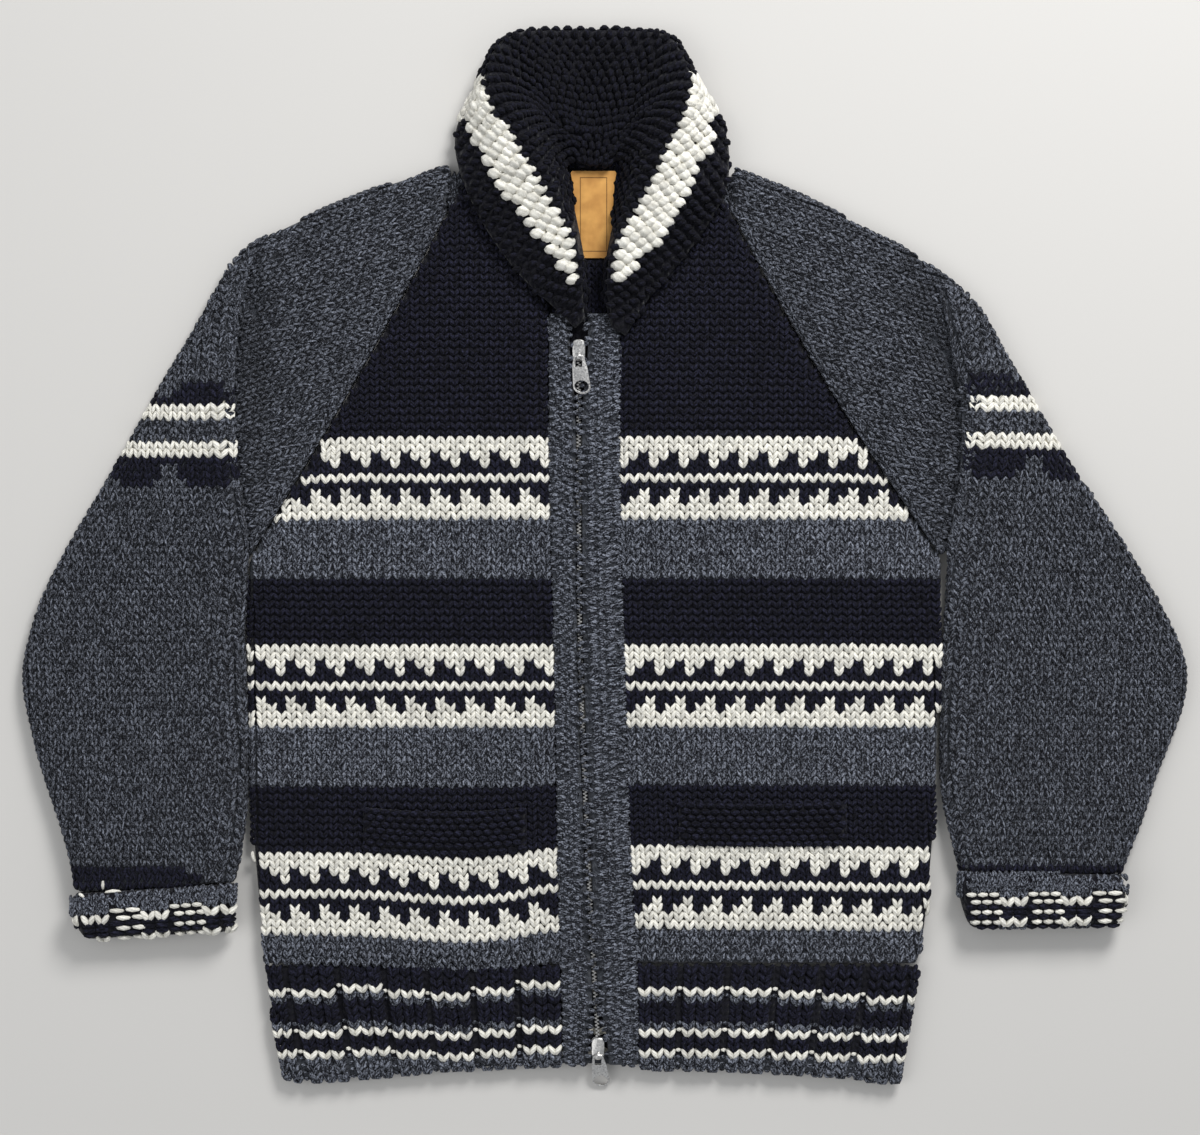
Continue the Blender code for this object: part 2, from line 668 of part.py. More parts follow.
def sleeve_row(section, count):
    """Plan places along one section, from its outer to its inner end."""
    places = []
    dx = section.inner_x - section.outer_x
    dy = section.inner_y - section.outer_y
    length = math.hypot(dx, dy)
    side = 1 if section.outer_x > 0 else -1
    normal = (-dy / length * side, dx / length * side)
    if normal[0] * side < 0:
        normal = (-normal[0], -normal[1])
    for i in range(count):
        t = i / (count - 1)
        bow = section.bow * 4 * t * (1 - t)
        x = section.outer_x + dx * t + normal[0] * bow
        y = section.outer_y + dy * t + normal[1] * bow
        places.append((t, x, y, normal))
    return places


def sleeve_top(section, t):
    if t < 0.5:
        return mix(section.outer_z, section.middle_z, math.sin(math.pi * t))
    return mix(section.inner_z, section.middle_z, math.sin(math.pi * t))


def sleeve_loops(section, count):
    """Outer and inner loops of one section of the flattened tube."""
    row = sleeve_row(section, count)
    outer = []
    inner = []
    inset = SLEEVE_HOLLOW_INSET
    length = math.hypot(section.inner_x - section.outer_x, section.inner_y - section.outer_y)
    ux = (section.inner_x - section.outer_x) / length
    uy = (section.inner_y - section.outer_y) / length
    hollow_floor = section.lift + CLOTH - SEAM_GAP
    hollow_top = hollow_floor + SLEEVE_HOLLOW
    last = count - 1
    for i, (t, x, y, normal) in enumerate(row):
        squeeze = EDGE_ROUND * (1 if i == 0 else -1 if i == last else 0)
        shift = section.shift * math.sin(math.pi * t) ** 0.5 if 0 < t < 1 else 0.0
        upper_x = x + ux * squeeze - normal[0] * shift
        upper_y = y + uy * squeeze - normal[1] * shift
        outer.append((upper_x, upper_y, sleeve_top(section, t)))
        tuck = inset * (1 if i == 0 else -1 if i == last else 0)
        inner.append((x + ux * tuck, y + uy * tuck, hollow_top))
    ends = (row[0], row[-1])
    middle = (section.lift + sleeve_top(section, 1.0)) / 2
    outer.append((ends[1][1], ends[1][2], middle))
    inner.append((ends[1][1] - ux * CLOTH, ends[1][2] - uy * CLOTH, hollow_floor + 1.0))
    for i in range(last, -1, -1):
        t, x, y, normal = row[i]
        squeeze = EDGE_ROUND * (1 if i == 0 else -1 if i == last else 0)
        outer.append((x + ux * squeeze, y + uy * squeeze, section.lift))
        tuck = inset * (1 if i == 0 else -1 if i == last else 0)
        inner.append((x + ux * tuck, y + uy * tuck, hollow_floor))
    middle = (section.lift + sleeve_top(section, 0.0)) / 2
    outer.append((ends[0][1], ends[0][2], middle))
    inner.append((ends[0][1] + ux * CLOTH, ends[0][2] + uy * CLOTH, hollow_floor + 1.0))
    return outer, inner


def raglan_section(raglan, neck_end, side, count):
    """The open end of a sleeve, along its raglan seam."""
    gap = 2 * SEAM_GAP * side
    ys = [mix(neck_end[1], 4.0, i / (count - 1)) for i in range(count)]
    places = [Vector((raglan_x(raglan, y) + gap, y)) for y in ys]
    places[0] = Vector(neck_end)
    last = count - 1
    inward = {
        0: (places[1] - places[0]).normalized(),
        last: (places[last - 1] - places[last]).normalized(),
    }
    hollow_floor = CLOTH - SEAM_GAP
    hollow_top = hollow_floor + SLEEVE_HOLLOW
    hollow_middle = hollow_floor + SLEEVE_HOLLOW / 2

    def set_in(i, distance):
        return places[i] + inward[i] * distance if i in inward else places[i]

    outer = []
    inner = []
    for i in range(count):
        top = mix(RAGLAN_END_TOP, RAGLAN_MIDDLE_TOP, math.sin(math.pi * i / last))
        outer.append((*set_in(i, EDGE_ROUND), top))
        inner.append((*set_in(i, SLEEVE_HOLLOW_INSET), hollow_top))
    outer.append((*places[last], RAGLAN_END_TOP / 2))
    inner.append((*set_in(last, CLOTH), hollow_middle))
    for i in range(last, -1, -1):
        outer.append((*set_in(i, EDGE_ROUND), 0.0))
        inner.append((*set_in(i, SLEEVE_HOLLOW_INSET), hollow_floor))
    outer.append((*places[0], RAGLAN_END_TOP / 2))
    inner.append((*set_in(0, CLOTH), hollow_middle))
    return outer, inner


def make_sleeve(name, sections, raglan, neck_end, side, material):
    count = 11
    outer_loops = []
    inner_loops = []
    outer, inner = raglan_section(raglan, neck_end, side, count)
    outer_loops.append(outer)
    inner_loops.append(inner)
    for section in sections:
        outer, inner = sleeve_loops(section, count)
        outer_loops.append(outer)
        inner_loops.append(inner)
    add_object(name, tube_mesh(name, outer_loops, inner_loops), material)


def cuff_loops(row, rib_share, count):
    """Outer and inner loops of one section of a turned-back cuff."""
    start = Vector((row.outer_x, row.outer_y))
    end = Vector((row.inner_x, row.inner_y))
    along = (end - start).normalized()
    hollow_top = CUFF_HOLLOW_FLOOR + CUFF_HOLLOW
    hollow_middle = CUFF_HOLLOW_FLOOR + CUFF_HOLLOW / 2
    side_middle = (row.top + row.foot) / 2
    shares = [i / (count - 1) for i in range(count)]

    def place(t, distance):
        return (start + along * distance).lerp(end - along * distance, t)

    outer = []
    inner = []
    for t in shares:
        rib = CUFF_RIB_DEPTH * rib_share * (0.5 - 0.5 * math.cos(2 * math.pi * CUFF_RIBS * t))
        outer.append((*place(t, CUFF_SIDE_ROUND), row.top - rib))
        inner.append((*place(t, CUFF_HOLLOW_INSET), hollow_top))
    outer.append((*end, side_middle))
    inner.append((*place(1.0, CUFF_HOLLOW_INSET - 1.0), hollow_middle))
    for t in reversed(shares):
        outer.append((*place(t, CUFF_SIDE_ROUND), row.foot))
        inner.append((*place(t, CUFF_HOLLOW_INSET), CUFF_HOLLOW_FLOOR))
    outer.append((*start, side_middle))
    inner.append((*place(0.0, CUFF_HOLLOW_INSET - 1.0), hollow_middle))
    return outer, inner


def make_cuff(name, rows, material):
    """A turned-back cuff: two layers thick all round, folded at its foot."""
    count = 4 * CUFF_RIBS + 1
    outer_loops = []
    inner_loops = []
    for number, row in enumerate(rows):
        rib_share = 1.0 if 0 < number < len(rows) - 2 else 0.4
        outer, inner = cuff_loops(row, rib_share, count)
        outer_loops.append(outer)
        inner_loops.append(inner)
    add_object(name, tube_mesh(name, outer_loops, inner_loops), material)


def collar_station(place):
    """A row of the collar table, read between rows along smooth curves."""
    rows = COLLAR_RIGHT_HALF + (COLLAR_MIDDLE,) + COLLAR_LEFT_HALF
    i = min(int(place), len(rows) - 2)
    t = place - i
    before = rows[max(i - 1, 0)]
    after = rows[min(i + 2, len(rows) - 1)]
    start = rows[i]
    end = rows[i + 1]
    values = []
    for p, q, r, s in zip(before, start, end, after):
        slope_in = (r - p) / 2
        slope_out = (s - q) / 2
        rise = r - q
        bend = (slope_in - rise) * (1 - t) + (rise - slope_out) * t
        values.append(q + rise * t + t * (1 - t) * bend)
    return Collar(*values)


def cloth_below(x, y):
    """Height of what the collar lies on: fronts and sleeves, the back in the neck, the floor."""
    shoulder = ease((NECK_SEAM_Y + 12.0 - y) / 8.0)
    in_neck = ease((x - inner_left(y) + 1.0) / 9.0) * ease((inner_right(y) - x + 1.0) / 9.0)
    in_neck *= ease((y - BAND_HEAD_Y - 14.0) / 14.0)
    neck_floor = FRONT_FLOOR + LABEL_THICK + LAY_GAP
    band_step = (BAND_CLOTH - CLOTH) * ease((BAND_HEAD_Y + 10.0 - y) / 8.0)
    outer = mix(front_top(x, y), SLEEVE_HEAD_TOP, ease((abs(x) - 78.0) / 14.0))
    on_cloth = mix(max(outer, front_top(x, y)) + band_step + LAY_GAP, neck_floor, in_neck)
    return mix(0.0, on_cloth, shoulder)


def collar_section(row):
    """One section of the collar: upper and lower points from its seam to its loose edge."""
    inner_steps = 6
    outer_steps = 6
    upper = []
    out_x = row.edge_x - row.seam_x
    out_y = row.edge_y - row.seam_y
    length = math.hypot(out_x, out_y)
    out_x /= length
    out_y /= length
    for i in range(inner_steps + 1):
        t = i / inner_steps
        x = mix(row.seam_x, row.crest_x, t)
        y = mix(row.seam_y, row.crest_y, t)
        z = mix(row.seam_z, row.crest_z, math.sin(t * math.pi / 2))
        z += row.lobe * math.sin(math.pi * t)
        upper.append((x, y, z))
    for i in range(1, outer_steps):
        t = i / outer_steps
        turn = t * math.pi / 2
        share = mix(t, math.sin(turn), row.doubled)
        x = mix(row.crest_x, row.edge_x, share)
        y = mix(row.crest_y, row.edge_y, share)
        drop = mix(1 - math.cos(turn), t * t * (3 - 2 * t), 0.55)
        z = mix(row.crest_z, row.edge_z, drop)
        upper.append((x, y, z))
    lower = []
    for i, (x, y, z) in enumerate(upper):
        before = upper[max(i - 1, 0)]
        after = upper[min(i + 1, len(upper) - 1)]
        run = math.hypot(after[0] - before[0], after[1] - before[1])
        rise = after[2] - before[2]
        slope = math.hypot(run, rise) / max(run, 0.01)
        hung = z - COLLAR_CLOTH * min(slope, 1.6)
        low = mix(hung, 0.0, ease(row.doubled))
        support = cloth_below(x, y)
        lower.append((x, y, min(max(low, support), z - 1.2)))
    first = upper[0]
    start_x = first[0] - out_x * 1.5
    start_y = first[1] - out_y * 1.5
    start = (start_x, start_y, (first[2] + lower[0][2]) / 2)
    edge_hung = mix(row.edge_z - COLLAR_CLOTH, 0.0, row.doubled)
    edge_low = max(edge_hung, cloth_below(row.edge_x, row.edge_y))
    end = (row.edge_x, row.edge_y, max((row.edge_z + edge_low) / 2, edge_low + 0.4))
    return upper, lower, start, end


def make_collar(wool):
    stations = len(COLLAR_RIGHT_HALF) + len(COLLAR_LEFT_HALF)
    steps = 2 * stations
    sections = [collar_section(collar_station(stations * i / steps)) for i in range(steps + 1)]
    add_object("collar", slab_mesh("collar", sections), wool["black_wool"], 60.0)


def make_welts(wool):
    for welt in WELTS:
        sections = []
        for share, lift in ((0.0, 0.4), (0.08, 1.0), (0.5, 1.0), (0.9, 1.0), (1.0, 0.6)):
            xs = across(welt.left, welt.right, 9)

            def y_at(x, welt=welt, share=share):
                middle = (welt.left + welt.right) / 2
                half = (welt.right - welt.left) / 2
                sag = welt.sag * (1 - ((x - middle) / half) ** 2)
                return mix(welt.foot, welt.head, share) - sag

            def floor(x, y):
                return front_top(x, y) + SEAM_GAP

            def top(x, y, lift=lift):
                return front_top(x, y) + SEAM_GAP + WELT_CLOTH * lift

            sections.append(panel_section(y_at, xs, welt.left, welt.right, floor, top))
        add_object(welt.name, slab_mesh(welt.name, sections), wool["black_wool"])


def make_label(wool):
    sections = []
    low = BACK_TOP + SEAM_GAP
    high = low + LABEL_THICK
    middle = (low + high) / 2
    edge = 0.6
    rows = (
        (LABEL_FOOT, 0.5), (LABEL_FOOT + edge, 1.0),
        (LABEL_HEAD - edge, 1.0), (LABEL_HEAD, 0.5),
    )
    for y, full in rows:
        top = mix(low, high, full)
        xs = rows_between(LABEL_LEFT + edge, LABEL_RIGHT - edge, 3)
        upper = [(x, y, top) for x in xs]
        lower = [(x, y, low) for x in xs]
        start = (LABEL_LEFT, y, min(middle, top))
        end = (LABEL_RIGHT, y, min(middle, top))
        sections.append((upper, lower, start, end))
    add_object("neck_label", slab_mesh("neck_label", sections), wool["tan_leather"])


def pull_outline(corner_steps):
    """Outline of a pull tab from its bar to its rounded foot, hinge line at y = 0."""
    head = PULL_HEAD_WIDTH / 2
    shoulder = PULL_SHOULDER_WIDTH / 2
    half_bar = PULL_PLATE / 2
    points = [(-head + half_bar, half_bar), (-head, 0.0), (-shoulder, -PULL_SHOULDER)]
    radius = PULL_FOOT_WIDTH / 2
    depth = radius * 0.86
    centre_y = -(PULL_LENGTH - depth)
    for i in range(corner_steps + 1):
        angle = math.pi + math.pi * i / corner_steps
        points.append((radius * math.cos(angle), centre_y + depth * math.sin(angle)))
    points += [(shoulder, -PULL_SHOULDER), (head, 0.0), (head - half_bar, half_bar)]
    return [leaned(point) for point in points]


def leaned(point):
    """Let the tab lean to one side, as it lies in its loose bridge."""
    x, y = point
    return (x - y * math.tan(PULL_LEAN) * min(1.0, -y / PULL_SHOULDER) if y < 0 else x, y)


def prism(name, outline, low, high):
    """Extrude a closed outline between two heights."""
    count = len(outline)
    points = [(x, y, low) for x, y in outline] + [(x, y, high) for x, y in outline]
    faces = [tuple(range(count)), tuple(range(count, 2 * count))]
    for i in range(count):
        j = (i + 1) % count
        faces.append((i, j, count + j, count + i))
    return mesh_from(name, points, faces)


def guide_object(name, mesh):
    """An object that only cuts or joins another."""
    guide = bpy.data.objects.new(name, mesh)
    bpy.context.scene.collection.objects.link(guide)
    guide.hide_render = True
    guide.display_type = "WIRE"
    return guide


def combine(obj, guide, operation):
    step = obj.modifiers.new(operation.title(), "BOOLEAN")
    step.operation = operation
    step.solver = "EXACT"
    step.object = guide
    guide.parent = obj


def oval(width, length, centre_y, steps):
    points = []
    for i in range(steps):
        angle = 2 * math.pi * i / steps
        points.append((width / 2 * math.cos(angle), centre_y + length / 2 * math.sin(angle)))
    return points


def box_outline(width, low_y, high_y):
    half = width / 2
    return [(-half, low_y), (half, low_y), (half, high_y), (-half, high_y)]


def hinge_place(slider_y):
    """Where a pull tab's bar runs through the bridge of its slider."""
    hinge_y = slider_y - SLIDER_LENGTH / 2 + HINGE_FROM_END
    return Vector((zip_x(slider_y), hinge_y, SLIDER_FLOOR + SLIDER_HEIGHT + HINGE_RISE))


def make_slider(name, slider_y, crown, metal):
    """A slider of two plates on a neck, with a bridge over its upper plate."""
    length = SLIDER_LENGTH
    half = SLIDER_WIDTH / 2
    plate = [
        (-half * 0.62, -length / 2),
        (half * 0.62, -length / 2),
        (half * 0.95, -length / 2 + 2.0),
        (half, length / 2 - 4.5),
        (half * 0.8, length / 2 - 1.2),
        (half * 0.35, length / 2),
        (-half * 0.35, length / 2),
        (-half * 0.8, length / 2 - 1.2),
        (-half, length / 2 - 4.5),
        (-half * 0.95, -length / 2 + 2.0),
    ]
    neck_share = SLIDER_NECK / SLIDER_WIDTH
    levels = (
        (0.0, 0.88), (0.4, 1.0), (SLIDER_PLATE, 1.0), (SLIDER_PLATE, neck_share),
        (SLIDER_HEIGHT - SLIDER_PLATE, neck_share), (SLIDER_HEIGHT - SLIDER_PLATE, 1.0),
        (SLIDER_HEIGHT - 0.4, 1.0), (SLIDER_HEIGHT, 0.88),
    )
    points = []
    faces = []
    count = len(plate)
    for height, share in levels:
        for x, y in plate:
            points.append((x * share, y * crown * mix(share, 1.0, 0.6), height))
    for level in range(len(levels) - 1):
        for i in range(count):
            j = (i + 1) % count
            a = level * count
            b = a + count
            faces.append((a + i, a + j, b + j, b + i))
    faces.append(tuple(range(count)))
    faces.append(tuple(range((len(levels) - 1) * count, len(levels) * count)))
    body = add_object(name, mesh_from(name, points, faces), metal)
    body.location = Vector((zip_x(slider_y), slider_y, SLIDER_FLOOR)) * MM
    half_length = BRIDGE_LENGTH / 2
    arch = []
    for i in range(9):
        angle = math.pi * i / 8
        arch.append((half_length * math.cos(angle), BRIDGE_RISE * math.sin(angle) ** 0.6))
    for i in range(8, -1, -1):
        angle = math.pi * i / 8
        inner = half_length - BRIDGE_BAR
        rise = BRIDGE_RISE - BRIDGE_BAR
        arch.append((inner * math.cos(angle), rise * math.sin(angle) ** 0.6))
    arch = [(along, up - 0.7 if up < 0.01 else up) for along, up in arch]
    side = BRIDGE_WIDTH / 2
    count = len(arch)
    centre = HINGE_FROM_END - length / 2
    points = [(-side, centre + along, SLIDER_HEIGHT + up) for along, up in arch]
    points += [(side, centre + along, SLIDER_HEIGHT + up) for along, up in arch]
    faces = [tuple(range(count)), tuple(range(count, 2 * count))]
    for i in range(count):
        j = (i + 1) % count
        faces.append((i, j, count + j, count + i))
    bridge = guide_object(name + "_bridge_guide", mesh_from(name + "_bridge_guide", points, faces))
    combine(body, bridge, "UNION")
    return body


def make_pull_tab(name, slider_y, droop, metal):
    """A pull tab that hangs from its slider's bridge, its bar on the joint's axis."""
    half_plate = PULL_PLATE / 2
    tab = add_object(name, prism(name, pull_outline(12), -half_plate, half_plate), metal)
    window = box_outline(PULL_WINDOW_WIDTH, -half_plate - PULL_WINDOW_LENGTH, -half_plate)
    hole_centre = -(PULL_LENGTH - PULL_HOLE_LENGTH / 2 - PULL_PLATE)
    hole = [leaned(p) for p in oval(PULL_HOLE_WIDTH, PULL_HOLE_LENGTH, hole_centre, 16)]
    for label, shape in (("window", window), ("hole", hole)):
        guide_name = name + "_" + label + "_guide"
        cutter = guide_object(guide_name, prism(guide_name, shape, -3.0, 3.0))
        combine(tab, cutter, "DIFFERENCE")
    tab.location = hinge_place(slider_y) * MM
    tab.rotation_euler = (droop, 0.0, 0.0)
    return tab


def centre_on_origin():
    """Move everything so that the middle of the underside is the origin."""
    bpy.context.view_layer.update()
    low = Vector((math.inf, math.inf, math.inf))
    high = -low
    graph = bpy.context.evaluated_depsgraph_get()
    for obj in bpy.data.objects:
        if obj.hide_render:
            continue
        shown = obj.evaluated_get(graph)
        for vertex in shown.data.vertices:
            place = shown.matrix_world @ vertex.co
            low = Vector(map(min, low, place))
            high = Vector(map(max, high, place))
    middle = (low + high) / 2
    shift = Vector((-middle.x, -middle.y, -low.z))
    for obj in bpy.data.objects:
        if obj.parent:
            continue
        if obj.location.length > 0:
            obj.location += shift
        else:
            obj.data.transform(Matrix.Translation(shift))
    print("shift in mm:", [round(value / MM, 3) for value in shift])
    print("size in mm:", [round(value / MM, 1) for value in (high - low)])


def main():
    clear_scene()
    wool = make_materials()
    make_body_panels(wool)
    make_hems(wool)
    make_bands(wool)
    make_zip_chain(wool)
    make_sleeve(
        "sleeve_right", RIGHT_ARM, RAGLAN_RIGHT_ARM, NECK_END_RIGHT_ARM, -1, wool["grey_wool"]
    )
    make_sleeve(
        "sleeve_left", LEFT_ARM, RAGLAN_LEFT_ARM, NECK_END_LEFT_ARM, 1, wool["grey_wool"]
    )
    make_cuff("cuff_right", RIGHT_CUFF, wool["black_wool"])
    make_cuff("cuff_left", LEFT_CUFF, wool["black_wool"])
    make_collar(wool)
    make_welts(wool)
    make_label(wool)
    make_slider("zip_slider_bottom", BOTTOM_SLIDER_Y, -1, wool["zip_metal"])
    make_slider("zip_slider_top", TOP_SLIDER_Y, 1, wool["zip_metal"])
    make_pull_tab("pull_tab_bottom", BOTTOM_SLIDER_Y, BOTTOM_PULL_DROOP, wool["zip_metal"])
    make_pull_tab("pull_tab_top", TOP_SLIDER_Y, TOP_PULL_DROOP, wool["zip_metal"])
    for name, slider_y in (("bottom", BOTTOM_SLIDER_Y), ("top", TOP_SLIDER_Y)):
        print(name, "hinge in mm before the shift:", tuple(hinge_place(slider_y)))
    centre_on_origin()


main()
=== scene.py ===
# %% [markdown]
# A bulky wool cardigan lies flat on a pale floor. Its solids are ready in the frame. This script
# knits over them: every stitch that shows is a small closed strand of yarn, set on a thin shell
# of cloth. All places are in metres, with the middle of the garment's underside at the origin.

import math
from collections import namedtuple

import bpy
import numpy as np
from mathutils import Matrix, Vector
from mathutils.bvhtree import BVHTree


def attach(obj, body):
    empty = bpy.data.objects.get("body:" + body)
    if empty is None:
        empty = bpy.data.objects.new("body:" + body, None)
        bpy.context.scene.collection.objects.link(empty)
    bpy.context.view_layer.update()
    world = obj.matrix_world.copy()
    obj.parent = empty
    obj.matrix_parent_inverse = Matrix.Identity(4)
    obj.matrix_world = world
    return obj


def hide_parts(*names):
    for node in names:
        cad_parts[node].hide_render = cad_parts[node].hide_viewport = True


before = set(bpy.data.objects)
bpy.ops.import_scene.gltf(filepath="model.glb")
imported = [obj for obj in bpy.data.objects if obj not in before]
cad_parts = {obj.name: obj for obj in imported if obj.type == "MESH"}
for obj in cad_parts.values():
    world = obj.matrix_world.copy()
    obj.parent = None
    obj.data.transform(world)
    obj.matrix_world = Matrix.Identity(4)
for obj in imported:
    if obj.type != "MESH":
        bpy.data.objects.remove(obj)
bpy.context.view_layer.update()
MM = 0.001

# %% [markdown]
# The measurements below were read off the picture with the zip line as x = 0 and the armpits as
# y = 0, in millimetres. The frame's origin is the middle of the underside, so one small step
# takes a measured place to the frame.

# %% From the tape measure to the frame
TAPE_TO_FRAME = Vector((-3.5, -0.974, 0.0))
ALONG_X = Vector((1.0, 0.0, 0.0))
NORTH = Vector((0.0, 1.0, 0.0))
SKY = Vector((0.0, 0.0, 1.0))
OVERHEAD = 0.3


def at_mm(x, y, z=0.0):
    """A place measured from the zip line and the armpits, in the frame's metres."""
    return (Vector((x, y, z)) + TAPE_TO_FRAME) * MM


def taped(place):
    """The measured place of a point of the frame."""
    return place / MM - TAPE_TO_FRAME


def read(rows, at):
    """Read a table of (place, value) rows, in rising order, along a smooth curve."""
    keys = [row[0] for row in rows]
    values = [row[1] for row in rows]
    if at <= keys[0]:
        return values[0]
    if at >= keys[-1]:
        return values[-1]
    i = max(j for j in range(len(keys) - 1) if keys[j] <= at)
    span = keys[i + 1] - keys[i]
    rise = values[i + 1] - values[i]
    slope_in = slope_out = rise / span
    if i > 0:
        slope_in = (values[i + 1] - values[i - 1]) / (keys[i + 1] - keys[i - 1])
    if i + 2 < len(keys):
        slope_out = (values[i + 2] - values[i]) / (keys[i + 2] - keys[i])
    t = (at - keys[i]) / span
    bend = (slope_in * span - rise) * (1 - t) + (rise - slope_out * span) * t
    return values[i] + rise * t + t * (1 - t) * bend


def swell(distance, width):
    """A smooth bump that is 1 in its middle."""
    return math.exp(-((distance / width) ** 2))


print("armpits' line in the frame, m:", [round(v, 4) for v in at_mm(0.0, 0.0)])

# %% [markdown]
# The camera looks straight down from well above, as the picture was taken. A short lens close
# by would also hold the whole garment, but its thick parts would lean outwards, so a longer
# lens is used. Its length follows from the width that it should see.

# %% Camera
VIEW_WIDTH_MM = 960.0
CAMERA_HEIGHT_MM = 2200.0
CLOTH_LEVEL_MM = 12.0
SENSOR_MM = 36.0
PICTURE_MIDDLE = (-0.0035, -0.007)
camera_data = bpy.data.cameras.new("camera")
camera = bpy.data.objects.new("camera", camera_data)
bpy.context.scene.collection.objects.link(camera)
camera_data.sensor_width = SENSOR_MM
camera_data.lens = SENSOR_MM * (CAMERA_HEIGHT_MM - CLOTH_LEVEL_MM) / VIEW_WIDTH_MM
camera.location = (*PICTURE_MIDDLE, CAMERA_HEIGHT_MM * MM)
camera_data.clip_end = 20.0
bpy.context.scene.camera = camera
print("lens, mm:", round(camera_data.lens, 1))

# %% [markdown]
# The floor is a plain pale sheet, a hair under the garment so that the two never share a plane.
# One big soft lamp stands at the upper right, a weaker one fills from the left, and a pale world
# lifts the shadows. Wool has little shine, so soft lamps model it better than hard ones.

# %% Floor and lamps
FLOOR_SIZE = 8.0
FLOOR_LEVEL = -0.0005
bpy.ops.object.select_all(action="DESELECT")
bpy.ops.mesh.primitive_plane_add(size=FLOOR_SIZE, location=(0.0, 0.0, FLOOR_LEVEL))
floor = bpy.context.active_object
floor.name = "floor"
floor_material = bpy.data.materials.new("pale_floor")
floor_material.use_nodes = True
floor_shader = floor_material.node_tree.nodes["Principled BSDF"]
floor_shader.inputs["Base Color"].default_value = (0.60, 0.585, 0.56, 1.0)
floor_shader.inputs["Roughness"].default_value = 0.8
floor.data.materials.append(floor_material)


def soft_lamp(name, place, size, power):
    """A square soft lamp that looks at the middle of the garment."""
    data = bpy.data.lights.new(name, "AREA")
    data.size = size
    data.energy = power
    lamp = bpy.data.objects.new(name, data)
    bpy.context.scene.collection.objects.link(lamp)
    lamp.location = place
    lamp.rotation_euler = (-Vector(place)).to_track_quat("-Z", "Y").to_euler()
    return lamp


soft_lamp("key", (0.9, 1.9, 1.7), 0.9, 66.0)
soft_lamp("fill", (-1.8, -0.6, 2.2), 2.0, 16.0)
world = bpy.data.worlds.new("studio")
bpy.context.scene.world = world
world.use_nodes = True
background = world.node_tree.nodes["Background"]
background.inputs["Color"].default_value = (0.93, 0.96, 1.0, 1.0)
background.inputs["Strength"].default_value = 0.5
bpy.context.scene.view_settings.view_transform = "Standard"
print("lamps:", [data.name for data in bpy.data.lights])

# %% [markdown]
# Shader sums are easier to read as sums. This small class wraps a socket, so `1 - mask` or
# `wave * 0.5 + 0.5` adds the Math nodes for it.


# %% Shader maths
class Val:
    """A socket that can be added, multiplied and compared."""

    def __init__(self, tree, socket):
        self.tree = tree
        self.socket = socket

    def math(self, operation, *others):
        return self.tree.node("ShaderNodeMath", {"operation": operation}, self, *others)

    def __add__(self, other):
        return self.math("ADD", other)

    __radd__ = __add__

    def __mul__(self, other):
        return self.math("MULTIPLY", other)

    __rmul__ = __mul__

    def __sub__(self, other):
        return self.math("SUBTRACT", other)

    def __rsub__(self, other):
        return self.tree.node("ShaderNodeMath", {"operation": "SUBTRACT"}, other, self)

    def __truediv__(self, other):
        return self.math("DIVIDE", other)

    def __gt__(self, other):
        return self.math("GREATER_THAN", other)

    def __lt__(self, other):
        return self.math("LESS_THAN", other)

    def fract(self):
        return self.math("FRACT")

    def wave(self):
        return (self * (2 * math.pi)).math("SINE") * 0.5 + 0.5


class Tree:
    """The node tree of a new material."""

    def __init__(self, name, roughness, metallic=0.0, sheen=0.0):
        self.material = bpy.data.materials.new(name)
        self.material.use_nodes = True
        self.nodes = self.material.node_tree.nodes
        self.links = self.material.node_tree.links
        self.shader = self.nodes["Principled BSDF"]
        self.shader.inputs["Roughness"].default_value = roughness
        self.shader.inputs["Metallic"].default_value = metallic
        self.shader.inputs["Sheen Weight"].default_value = sheen
        self.shader.inputs["Sheen Roughness"].default_value = 0.45
        if not metallic:
            self.shader.inputs["Specular IOR Level"].default_value = 0.2

    def node(self, kind, settings, *values, output=0):
        """Add a node, set it up, then give its sockets values or links."""
        made = self.nodes.new(kind)
        for key, value in settings.items():
            setattr(made, key, value)
        named = values[0] if values and isinstance(values[0], dict) else dict(enumerate(values))
        for key, value in named.items():
            if isinstance(value, Val):
                self.links.new(value.socket, made.inputs[key])
            else:
                made.inputs[key].default_value = value
        return Val(self, made.outputs[output])

    def place(self):
        return self.node("ShaderNodeTexCoord", {}, output=3)

    def axes(self, vector):
        split = self.node("ShaderNodeSeparateXYZ", {}, vector)
        return [Val(self, output) for output in split.socket.node.outputs]

    def blend(self, factor, first, second, mode="MIX"):
        settings = {"data_type": "RGBA", "blend_type": mode}
        slots = {"Factor": factor, 6: first, 7: second}
        return self.node("ShaderNodeMix", settings, slots, output=2)

    def noise(self, place, scale, detail=2.0):
        slots = {"Vector": place, "Scale": scale, "Detail": detail}
        return self.node("ShaderNodeTexNoise", {}, slots)

    def spread(self, value, low, high, to_low=0.0, to_high=1.0):
        settings = {"clamp": True}
        return self.node("ShaderNodeMapRange", settings, value, low, high, to_low, to_high)

    def scaled(self, colour, factor):
        return self.node("ShaderNodeVectorMath", {"operation": "SCALE"}, {0: colour, 3: factor})

    def feed(self, socket, value):
        self.links.new(value.socket, self.shader.inputs[socket])

    def bump(self, height, distance, strength=1.0):
        slots = {"Height": height, "Distance": distance, "Strength": strength}
        self.feed("Normal", self.node("ShaderNodeBump", {}, slots))


def rgb(red, green, blue):
    return (red, green, blue, 1.0)


